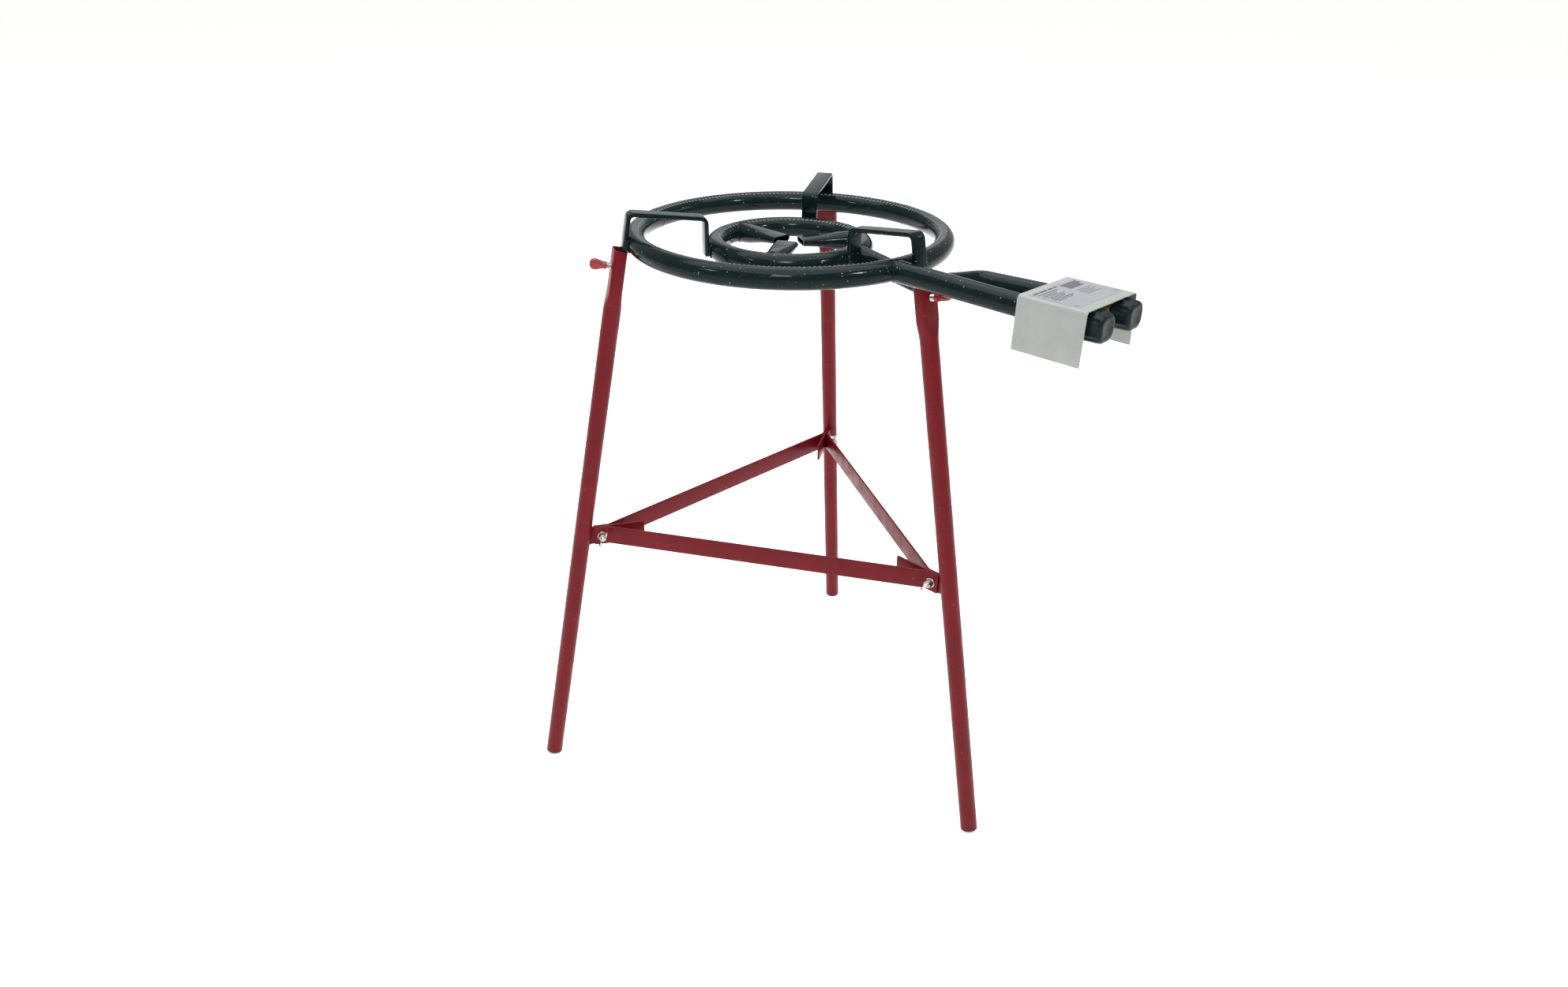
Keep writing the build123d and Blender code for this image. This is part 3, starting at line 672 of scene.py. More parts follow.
def rod(points: Sequence[Vector], radii: Sequence[float], closed: bool = False, sides: int = 2) -> BMesh:
    """Round rod along a line, its radius given at each point.

    Args:
        points: the line, in millimetres.
        radii: radius at each point.
        closed: whether the line runs back to its start.
        sides: roundness of the section, as a curve's bevel resolution.

    Returns:
        A closed shape.
    """
    curve = bpy.data.curves.new("scratch", "CURVE")
    curve.dimensions = "3D"
    curve.bevel_depth = 1.0
    curve.bevel_resolution = sides
    curve.use_fill_caps = not closed
    spline = curve.splines.new("POLY")
    spline.points.add(len(points) - 1)
    for spot, point, radius in zip(spline.points, points, radii):
        spot.co = (*point, 1.0)
        spot.radius = radius
    spline.use_cyclic_u = closed
    holder = bpy.data.objects.new("scratch", curve)
    mesh = bpy.data.meshes.new_from_object(holder)
    shape = bmesh.new()
    shape.from_mesh(mesh)
    bpy.data.objects.remove(holder)
    bpy.data.curves.remove(curve)
    bpy.data.meshes.remove(mesh)
    bmesh.ops.remove_doubles(shape, verts=shape.verts, dist=1e-4)
    bmesh.ops.recalc_face_normals(shape, faces=shape.faces)
    return shape


def weld_bead(line: Sequence[Vector], size: float, closed: bool = False) -> BMesh:
    """Weld bead along a seam, with the ripples that each drop of it leaves.

    Args:
        line: the seam, in millimetres.
        size: the bead's radius.
        closed: whether the seam runs right round.

    Returns:
        A closed shape.
    """
    step = 0.9
    points: list[Vector] = []
    for first, second in zip(line, list(line[1:]) + ([line[0]] if closed else [])):
        count = max(1, round((second - first).length / step))
        points += [first.lerp(second, i / count) for i in range(count)]
    if not closed:
        points.append(line[-1])
    radii = [size * (0.82 + 0.18 * cos(i * 2 * pi / 3)) for i in range(len(points))]
    if not closed:
        radii[0], radii[-1] = size * 0.45, size * 0.45
    return rod(points, radii, closed, 1)


def torus_gap(point: Vector, radius: float, height: float) -> float:
    """Distance from a point to the skin of a ring, negative inside it."""
    return hypot(hypot(point.x, point.y - RING_Y) - radius, point.z - height) - TUBE_R


def saddle_line(place: Matrix, width: float, depth: float, corner: float, radius: float, height: float,
                reach: float, sides: int = 40) -> list[Vector]:
    """Seam where a straight tube, run along local Z, meets a ring.

    Args:
        place: the tube's section clear of the ring, local Z towards the ring.
        width: the tube's width.
        depth: the tube's depth.
        corner: its corner radius.
        radius: the ring's radius.
        height: the ring's height.
        reach: how far along local Z to look for the ring.
        sides: points round the seam.

    Returns:
        Points of the seam, those that meet the ring.
    """
    probe = bmesh.new()
    section(probe, Matrix.Identity(4), width, depth, corner, sides)
    loop = sorted((v.co.copy() for v in probe.verts),
                  key=lambda p: Vector((p.x, p.y)).angle_signed(Vector((1, 0.001))))
    probe.free()
    ahead = (place.to_3x3() @ Vector((0, 0, 1))).normalized()
    seam = []
    for spot in loop:
        start = place @ spot
        travelled = 0.0
        while travelled < reach and torus_gap(start + ahead * travelled, radius, height) > 0:
            travelled += 0.25
        if travelled < reach:
            seam.append(start + ahead * travelled)
    return seam


def finish_piece(name: str, body: str, shape: BMesh, slot: Slot, finishes: Sequence[Finish] = (),
                 crease: float = 32.0, subdivide: int = 0) -> bpy.types.Object:
    """Turn a shape into a finished piece that rides on a body and stands for the frame's node.

    Args:
        name: the node that it stands for; the piece's own name adds an ending to it.
        body: the body it moves with.
        shape: the shape in millimetres, freed here.
        slot: the material slot it takes its finish from.
        finishes: its materials by number, or the slot's own.
        crease: edges that turn by more than this many degrees stay sharp.
        subdivide: levels of subdivision surface.

    Returns:
        The finished object.
    """
    bmesh.ops.recalc_face_normals(shape, faces=shape.faces)
    shape.normal_update()
    for face in shape.faces:
        face.smooth = True
    for edge in shape.edges:
        if len(edge.link_faces) == 2:
            edge.smooth = edge.calc_face_angle(0.0) < radians(crease)
    bmesh.ops.scale(shape, vec=(MM, MM, MM), verts=shape.verts)
    mesh = bpy.data.meshes.new(f"{name}_look")
    shape.to_mesh(mesh)
    shape.free()
    for finish in finishes or (SLOT_FINISH[slot],):
        mesh.materials.append(finish.material())
    piece = bpy.data.objects.new(f"{name}_look", mesh)
    bpy.context.scene.collection.objects.link(piece)
    if subdivide:
        smooth = piece.modifiers.new("rounding", "SUBSURF")
        smooth.levels = smooth.render_levels = subdivide
    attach(piece, body)
    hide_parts(name)
    log.info("%s: %d faces on %s", name, len(mesh.polygons), body)
    return piece


# ---------------------------------------------------------------- burner
@dataclass
class FlameRing:
    """Ring of bent tube with a row of flame ports that look inwards and up."""

    name: str
    radius: float
    height: float
    ports: int
    tilt: float = 65.0
    sides: int = 24
    port_r: float = 1.05
    rim: float = 0.55
    burr: float = 0.35
    depth: float = 1.9
    welds: tuple[float, ...] = (-130.0, -10.0, 110.0)

    def tube(self) -> BMesh:
        """Plain ring with two steps to each port and a row of faces under the ports."""
        shape = bmesh.new()
        port_angle = pi - radians(self.tilt)
        around = Matrix.Rotation(port_angle + pi / self.sides, 4, "Z")
        stand_up = Matrix.Rotation(pi / 2, 4, "X")
        bmesh.ops.create_circle(shape, cap_ends=False, radius=TUBE_R, segments=self.sides,
                                matrix=Matrix.Translation((self.radius, 0, 0)) @ stand_up @ around)
        bmesh.ops.spin(shape, geom=shape.verts[:] + shape.edges[:], cent=(0, 0, 0), axis=(0, 0, 1),
                       angle=2 * pi, steps=2 * self.ports, use_merge=True)
        bmesh.ops.remove_doubles(shape, verts=shape.verts, dist=1e-3)
        bmesh.ops.recalc_face_normals(shape, faces=shape.faces)
        return shape

    def port_faces(self, shape: BMesh) -> list[bmesh.types.BMFace]:
        """Every second face of the row that the ports go through."""
        wanted = Vector((-cos(radians(self.tilt)), sin(radians(self.tilt))))
        row = []
        for face in shape.faces:
            middle = face.calc_center_median()
            across = Vector((hypot(middle.x, middle.y) - self.radius, middle.z)).normalized()
            if across.dot(wanted) > cos(pi / self.sides * 0.6):
                bearing = degrees(Vector((1, 0)).angle_signed(Vector((middle.x, middle.y)), 0.0)) % 360
                row.append((bearing, face))
        row.sort(key=lambda item: item[0])
        return [face for _, face in row[::2]]

    def drill(self, shape: BMesh) -> None:
        """Sink a round port into each port face, with a burnt rim round it and painted shade on its walls
        and closed floor.
        """
        faces = self.port_faces(shape)
        bmesh.ops.inset_individual(shape, faces=faces, thickness=0.2, use_even_offset=True)
        edges = list({edge for face in faces for edge in face.edges})
        bmesh.ops.subdivide_edges(shape, edges=edges, cuts=1)
        shape.normal_update()
        for face in faces:
            middle = face.calc_center_median()
            for vert in face.verts:
                vert.co = middle + (vert.co - middle).normalized() * (self.port_r + self.rim)
        for grow, number in ((self.rim, 1), (0.0, 2)):
            if grow:
                ring = bmesh.ops.inset_individual(shape, faces=faces, thickness=grow, use_even_offset=True)
                for face in ring["faces"]:
                    face.material_index = number
        for face in faces:
            for vert in face.verts:
                vert.co += face.normal * self.burr
            inwards = -face.normal.copy()
            walls = bmesh.ops.extrude_discrete_faces(shape, faces=[face])["faces"]
            floor = walls[0]
            for vert in floor.verts:
                vert.co += inwards * self.depth
            # Material 2 is painted shade: the closed floor and the walls stand in for the dark hole into the
            # hollow tube.
            floor.material_index = 2
            for edge in floor.edges:
                for wall in edge.link_faces:
                    wall.material_index = 2

    def build(self) -> bpy.types.Object:
        """Make the ring with its ports and butt welds."""
        shape = self.tube()
        self.drill(shape)
        seams = []
        for bearing in self.welds:
            place = bearing_place(bearing, 0.0)
            place.translation = outward(bearing) * self.radius
            line = [place @ Vector((TUBE_R * cos(a * pi / 20), TUBE_R * sin(a * pi / 20), 0))
                    for a in range(40)]
            seams.append(painted(weld_bead(line, 0.32, closed=True), 0))
        whole = placed(joined([shape, *seams]), ring_place(self.height))
        # The third material is the painted shade inside the ports.
        return finish_piece(self.name, STAND, whole, Slot.ENAMEL, (ENAMEL, BARE_RIM, PORT_SHADE))


@dataclass
class FlameStub:
    """Tube welded inside the small ring and pressed flat towards its open tip."""

    leg: Leg
    wall: float = 1.5
    # reach, width, height and rise above the small ring's axis
    sections: tuple[tuple[float, float, float, float], ...] = (
        (80.5, 24.6, 24.4, 0.0), (72.0, 24.9, 23.2, 0.4), (62.0, 25.5, 21.0, 1.0), (54.0, 26.3, 18.2, 1.7),
        (46.0, 27.2, 15.2, 2.4), (38.0, 28.0, 12.5, 3.0), (26.0, 28.6, 10.0, 3.6), (14.0, 29.0, 8.4, 4.0))

    def build(self) -> bpy.types.Object:
        """Make the stub and its seam on the ring."""
        bearing = self.leg.value + 180.0
        out = outward(bearing)
        across = Vector((-out.y, out.x, 0))
        stations = [Station(axes(Vector((0, RING_Y, INNER_Z + rise)) + out * reach, across, -out),
                            width, height, height / 2 - 0.05)
                    for reach, width, height, rise in self.sections]
        stub = loft(stations, 40, self.wall, (False, True))
        start = axes(Vector((0, RING_Y, INNER_Z)) + out * 66.0, across, out)
        seam = saddle_line(start, 25.0, 23.6, 11.7, INNER_R, INNER_Z, 30.0)
        whole = joined([stub, weld_bead(seam, 1.3, closed=True)])
        return finish_piece(f"flame_stub_{self.leg.word}", STAND, whole, Slot.ENAMEL)


@dataclass
class FeedPipe:
    """Pipe from a ring to an open mouth in front of its injector."""

    name: str
    corners: tuple[Pair, ...]
    side: int
    ring_radius: float
    ring_height: float
    wall: float = 1.5
    bend: float = 60.0

    def build(self) -> bpy.types.Object:
        """Make the pipe, hollow at its mouth, and its seam on the ring."""
        corners = [Vector((self.side * FEED_SIDE, RING_Y - reach, RING_Z + height))
                   for reach, height in self.corners]
        line = bent_line(corners, self.bend, 12) if len(corners) > 2 else corners
        stations = []
        for i, point in enumerate(line):
            ahead = (line[min(i + 1, len(line) - 1)] - line[max(i - 1, 0)]).normalized()
            stations.append(Station(axes(point, Vector((1, 0, 0)), ahead), 2 * FEED_R, 2 * FEED_R, FEED_R))
        pipe = loft(stations, 40, self.wall, (False, True))
        back = (corners[0] - corners[1]).normalized()
        start = axes(corners[0] - back * 40.0, Vector((1, 0, 0)), back)
        seam = saddle_line(start, 2 * FEED_R, 2 * FEED_R, FEED_R, self.ring_radius, self.ring_height, 60.0)
        return finish_piece(self.name, STAND, joined([pipe, weld_bead(seam, 1.4, closed=True)]),
                            Slot.ENAMEL)


@dataclass
class PanSupport:
    """Flat bar bent to an upside-down U, welded to both rings."""

    leg: Leg
    width: float = 20.0
    thickness: float = 5.0
    bend: float = 9.0
    bar_line: float = 202.262
    inner_foot: float = -18.0
    inner_top: float = 28.7
    outer_top: float = 39.4
    outer_foot: float = -60.0
    bead: float = 1.5

    def build(self) -> bpy.types.Object:
        """Make the bar and the beads that hold it to the rings."""
        lean = tan(radians(SPLAY))
        outside = self.bar_line + self.thickness / 2 / cos(radians(SPLAY))
        inner = INNER_R + TUBE_R - 0.5
        corners = [(inner, self.inner_foot), (inner, self.inner_top),
                   (outside - self.outer_top * lean, self.outer_top),
                   (outside - self.outer_foot * lean, self.outer_foot)]
        place = bearing_place(self.leg.value, RING_Z)
        parts = [placed(bent_bar(corners, self.bend, self.thickness, self.width, 0.9), place)]
        for side in (-1, 1):
            for radius, height in ((RING_R, RING_Z), (INNER_R, INNER_Z)):
                line = []
                for step in range(-6, 7):
                    rise = TUBE_R * 0.62 * step / 6
                    skin = radius + sqrt(TUBE_R ** 2 - rise ** 2)
                    spot = Vector((sqrt(skin ** 2 - (self.width / 2) ** 2), rise + height - RING_Z,
                                   side * self.width / 2))
                    line.append(place @ (spot + Vector((0.3, 0, side * 0.2))))
                parts.append(weld_bead(line, self.bead))
        return finish_piece(f"pan_support_{self.leg.word}", STAND, joined(parts), Slot.ENAMEL)


# ---------------------------------------------------------------- tripod
@dataclass
class TripodLeg:
    """Splayed tube, pressed to a flat socket at its top, with a plug at its foot and a welded tab."""

    leg: Leg
    start: float = 4.24
    socket_length: float = 50.0
    taper: float = 25.0
    diameter: float = 22.0
    socket: tuple[float, float, float] = (27.5, 16.0, 4.5)
    wall: float = 1.5
    dome: float = 20.0
    dome_centre: float = 19.44
    tab_height: float = 346.6
    tab_reach: float = 197.0
    tab: Pair = (25.0, 3.0)

    def tube(self) -> BMesh:
        """Round below, eased into the flattened socket above."""
        low, high = LEG_LEN - self.socket_length - self.taper, LEG_LEN - self.socket_length
        stations = [Station(leg_place(self.leg.value, z), self.diameter, self.diameter, self.diameter / 2)
                    for z in (self.start, self.start + 0.4, 240.0, 480.0, low)]
        width, depth, corner = self.socket
        for i in range(1, 7):
            share = i / 6
            ease = share * share * (3 - 2 * share)
            stations.append(Station(
                leg_place(self.leg.value, low + (high - low) * share),
                self.diameter + (width - self.diameter) * ease,
                self.diameter + (depth - self.diameter) * ease,
                self.diameter / 2 + (corner - self.diameter / 2) * ease))
        stations.append(Station(leg_place(self.leg.value, LEG_LEN), width, depth, corner))
        shape = loft(stations, 48, self.wall)
        top = leg_place(self.leg.value, LEG_LEN)
        normal = (top.to_3x3() @ Vector((0, 0, 1))).normalized()
        return round_edges(shape, 0.35, 2, test=lambda e: abs(
            ((e.verts[0].co + e.verts[1].co) / 2 - top.translation).dot(normal)) < 0.05)

    def plug(self) -> BMesh:
        """Domed plug, worn flat at the floor."""
        rim = self.dome_centre - sqrt(self.dome ** 2 - (self.diameter / 2) ** 2)
        swing = acos((self.dome_centre - rim) / self.dome)
        arc = [(self.dome * sin(swing * i / 10), self.dome_centre - self.dome * cos(swing * i / 10))
               for i in range(11)]
        bore = self.diameter / 2 - self.wall - 0.1
        profile = arc + [(self.diameter / 2, self.start - 0.3), (self.diameter / 2 - 0.3, self.start),
                         (bore, self.start), (bore, self.start + 12.0), (0.0, self.start + 12.0)]
        shape = placed(turning(profile, 48), leg_place(self.leg.value))
        bmesh.ops.bisect_plane(shape, geom=shape.verts[:] + shape.edges[:] + shape.faces[:], dist=1e-4,
                               plane_co=(0, 0, 0), plane_no=(0, 0, 1), clear_inner=True)
        bmesh.ops.holes_fill(shape, edges=shape.edges, sides=0)
        return round_edges(shape, 0.3, 2, sharper=22.0, test=lambda e: all(v.co.z < 0.01 for v in e.verts))

    def tab_plate(self) -> BMesh:
        """Tab on edge, with its bead down each side of the leg."""
        bearing = self.leg.value
        place = bearing_place(bearing, self.tab_height)
        height, thickness = self.tab
        meet = FOOT_R - self.tab_height * tan(radians(SPLAY)) - 4.0
        outline = [(self.tab_reach, -height / 2), (meet, -height / 2), (meet, height / 2),
                   (self.tab_reach, height / 2)]
        plate = round_edges(slab(outline, -thickness / 2, thickness / 2), 0.5, 2)
        parts = [placed(plate, place)]
        lean = tan(radians(SPLAY))
        for side in (-1, 1):
            line = []
            for i in range(9):
                rise = height * (i / 8 - 0.5)
                axis = FOOT_R - (self.tab_height + rise) * lean
                line.append(place @ Vector((axis - self.diameter / 2 / cos(radians(SPLAY)) - 0.1, rise,
                                            side * (thickness / 2 + 0.6))))
            parts.append(weld_bead(line, 1.5))
        return joined(parts)

    def build(self) -> list[bpy.types.Object]:
        """Make the leg, its foot and its tab."""
        word = self.leg.word
        return [finish_piece(f"leg_{word}", STAND, self.tube(), Slot.RED),
                finish_piece(f"foot_{word}", STAND, self.plug(), Slot.FOOT),
                finish_piece(f"leg_tab_{word}", STAND, self.tab_plate(), Slot.RED)]


@dataclass
class Brace:
    """Flat bar on edge from one leg's tab to the next, its ends bent flat to the tabs."""

    first: Leg
    second: Leg
    height: float = 346.6
    width: float = 25.0
    thickness: float = 3.0
    end_reach: float = 264.0
    bend_reach: float = 244.0
    tab_half: float = 1.5

    def build(self) -> bpy.types.Object:
        """Make the bar."""
        start, end = outward(self.first.value), outward(self.second.value)
        left = Vector((-start.y, start.x, 0)) * self.tab_half
        right = Vector((end.y, -end.x, 0)) * self.tab_half
        corners = [start * self.end_reach + left, start * self.bend_reach + left,
                   end * self.bend_reach + right, end * self.end_reach + right]
        bar = bent_bar([(c.x, c.y) for c in corners], 6.0, self.thickness, self.width, 0.7)
        name = f"brace_{self.first.word}_{self.second.word}"
        return finish_piece(name, STAND, placed(bar, ring_place(self.height)), Slot.RED)


@dataclass
class BraceJoint:
    """Bolt, washer and wing nut through a tab and the ends of two bars."""

    leg: Leg
    side: int
    turned_by: float
    reach: float = 254.0
    height: float = 346.6
    stack: float = 4.5
    shank_r: float = 3.0
    washer: tuple[float, float] = (12.5, 1.2)
    nut_height: float = 7.0
    span: float = 22.0
    # an ear's outline: how far in from its end, and how high
    ear: tuple[Pair, ...] = ((3.5, 5.0), (0.7, 8.0), (0.0, 9.6), (0.4, 11.2), (1.9, 12.0), (3.8, 11.4),
                             (5.6, 10.0))

    @property
    def place(self) -> Matrix:
        """Middle of the tab, local Z towards the wing nut."""
        out = outward(self.leg.value)
        across = Vector((-out.y, out.x, 0)) * self.side
        return axes(Vector((0, RING_Y, self.height)) + out * self.reach, out, across)

    def bolt(self) -> BMesh:
        """Hexagon bolt with a chamfered head and a threaded end."""
        head = round_edges(slab(hexagon(10.0), -self.stack - 4.0, -self.stack), 0.5, 2, sharper=80.0)
        start = self.stack + self.washer[1]
        end = start + self.nut_height + 3.0
        root = self.shank_r - 0.45
        profile = [(0.0, -self.stack - 0.1), (self.shank_r, -self.stack - 0.1), (self.shank_r, start)]
        height = start
        while height < end - 1.2:
            profile += [(root, height + 0.5), (self.shank_r, height + 1.0)]
            height += 1.0
        profile += [(root, end), (0.0, end)]
        return placed(joined([head, turning(profile, 24)]), self.place)

    def washer_ring(self) -> BMesh:
        """Flat washer with worn edges."""
        outer, bore, thick = self.washer[0] / 2, self.shank_r + 0.1, self.washer[1]
        profile = [(bore, 0.15), (bore + 0.15, 0.0), (outer - 0.2, 0.0), (outer, 0.25),
                   (outer, thick - 0.25), (outer - 0.25, thick), (bore + 0.15, thick), (bore, thick - 0.15)]
        return placed(turning(profile, 40, closed=True), moved(self.place, self.stack))

    def wing_nut(self) -> BMesh:
        """Tapered hub with two rounded ears."""
        half = self.span / 2
        bore = self.shank_r + 0.05
        hub = turning([(bore, 0.3), (bore + 0.3, 0.0), (5.0, 0.0), (5.2, 0.3), (4.6, self.nut_height - 0.5),
                       (4.2, self.nut_height), (bore + 0.3, self.nut_height), (bore, self.nut_height - 0.3)],
                      32, closed=True)
        ear = [(3.4, 0.9), (5.2, 1.6), *((half - inset, height) for inset, height in self.ear),
               (3.4, self.nut_height - 0.6)]
        parts = [hub]
        for side in (1, -1):
            flat = round_edges(slab(ear, -1.1, 1.1), 0.55, 3, sharper=60.0)
            upright = Matrix.Rotation(pi / 2, 4, "X")
            parts.append(placed(flat, Matrix.Rotation(0 if side > 0 else pi, 4, "Z") @ upright))
        place = turned(moved(self.place, self.stack + self.washer[1]), self.turned_by)
        return placed(joined(parts), place)

    def build(self) -> list[bpy.types.Object]:
        """Make the washer and the nut; the bolts of all joints are one piece."""
        word = self.leg.word
        return [finish_piece(f"washer_{word}", f"washer_{word}", self.washer_ring(), Slot.ZINC),
                finish_piece(f"wing_nut_{word}", f"wing_nut_{word}", self.wing_nut(), Slot.ZINC)]


@dataclass
class ThumbScrew:
    """Zinc screw through a socket's wall, with a spoon-shaped plastic head."""

    leg: Leg
    turned_by: float
    drop: float
    radius: float = 4.0
    tip: float = -1.45
    head_start: float = 13.5
    head_length: float = 20.0
    # the head's share of its length, thickness and width
    grip: tuple[tuple[float, float, float], ...] = (
        (0.0, 9.0, 9.0), (0.03, 10.0, 10.0), (0.1, 9.8, 9.8), (0.2, 8.8, 9.2), (0.3, 7.9, 9.6),
        (0.42, 7.2, 11.6), (0.56, 7.0, 13.4), (0.7, 6.9, 14.0), (0.82, 6.2, 13.2), (0.92, 4.6, 10.4),
        (0.98, 2.8, 6.4), (1.0, 1.2, 3.0))

    @property
    def place(self) -> Matrix:
        """The leg's axis at the screw, local Z outwards."""
        leg = leg_place(self.leg.value, (RING_Z - self.drop) / cos(radians(SPLAY)))
        turn = leg.to_3x3()
        return axes(leg.translation, turn.col[0], -turn.col[1])

    def shank(self) -> BMesh:
        """Threaded shank and the thin end that the head is moulded on."""
        root, pitch = self.radius - 0.6, 1.25
        profile = [(0.0, self.tip), (root, self.tip), (self.radius, self.tip + 0.5)]
        height = self.tip + 0.8
        while height < self.head_start - pitch:
            profile += [(self.radius, height), (root, height + pitch / 2)]
            height += pitch
        profile += [(self.radius, self.head_start - 0.5), (self.radius - 0.4, self.head_start),
                    (3.0, self.head_start), (3.0, self.head_start + 12.0), (0.0, self.head_start + 12.0)]
        return placed(turning(profile, 32), self.place)

    def head(self) -> BMesh:
        """Round neck that spreads to a flat oval grip."""
        place = turned(self.place, self.turned_by)
        start, end = self.head_start + 0.2, self.head_start + self.head_length
        stations = [Station(moved(place, start + (end - start) * share), thick, wide, min(thick, wide) / 2)
                    for share, thick, wide in self.grip]
        return loft(stations, 24)

    def build(self) -> list[bpy.types.Object]:
        """Make the screw and its head."""
        word = self.leg.word
        return [finish_piece(f"clamp_screw_{word}", f"clamp_screw_{word}", self.shank(), Slot.ZINC),
                finish_piece(f"clamp_head_{word}", f"clamp_head_{word}", self.head(), Slot.HEAD,
                             crease=70.0, subdivide=1)]


# ---------------------------------------------------------------- taps
@dataclass
class HeatShield:
    """White sheet folded over the taps, with a printed plate on its top."""

    width: float = 94.0
    drop: float = 56.0
    flare: float = 2.5
    thickness: float = 1.0
    near: float = 359.0
    length: float = 78.0
    rise: float = 15.0
    label: Pair = (84.0, 57.0)
    label_reach: float = 396.0

    def sheet(self) -> BMesh:
        """Folded sheet with rounded folds and cut edges."""
        half, foot = self.width / 2, self.width / 2 + self.flare
        corners = [(-foot, -self.drop), (-half, 0.0), (half, 0.0), (foot, -self.drop)]
        place = axes(Vector((0, RING_Y - self.near - self.length / 2, RING_Z + self.rise)),
                     Vector((1, 0, 0)), Vector((0, -1, 0)))
        return placed(bent_bar(corners, 4.0, self.thickness, self.length, 0.22), place)

    def plate(self) -> BMesh:
        """Thin plate with blocks and rules of print in place of words."""
        width, length = self.label
        base = round_edges(slab(box_outline(width, length), 0.0, 0.22), 1.6, 4, sharper=80.0,
                           test=lambda e: abs(e.verts[0].co.z - e.verts[1].co.z) > 0.1)
        parts = [painted(base, 0)]
        left, top = -width / 2 + 4.0, length / 2 - 4.0

        def ink(x: float, y: float, wide: float, high: float) -> None:
            """Print a block with its left edge at x and its middle at y."""
            mark = slab(box_outline(wide, high), 0.2, 0.26)
            parts.append(painted(placed(mark, Matrix.Translation((x + wide / 2, y, 0))), 1))

        for start, wide in ((0.0, 9.0), (10.5, 13.0), (25.5, 8.0), (35.5, 5.5)):
            ink(left + start, top, wide, 2.6)
        for row in range(8):
            indent = 2.5 * (row % 3 == 1)
            ink(left + indent, top - 5.2 - 3.1 * row, 34.0 - 5.0 * (row % 3) - indent,
                1.0 + 0.4 * (row % 2 == 0))
        for row in range(5):
            ink(6.0, top - 21.5 - 3.1 * row, 26.0 - 6.0 * (row % 2), 0.8)
        for row in range(9):
            ink(8.0, top - 1.0 - 1.6 * row, 24.0 + 4.0 * (row < 5), 1.1)
        for corner in (left, -left - 3.5):
            ink(corner, -length / 2 + 4.0, 3.5, 0.9)
            ink(corner, -length / 2 + 6.0, 0.9, 4.0)
        return placed(joined(parts), Matrix.Translation((0, RING_Y - self.label_reach, RING_Z + self.rise)))

    def build(self) -> list[bpy.types.Object]:
        """Make the sheet and its plate."""
        return [finish_piece("heat_shield", STAND, self.sheet(), Slot.WHITE),
                finish_piece("shield_label", STAND, self.plate(), Slot.LABEL, (PLATE, INK))]


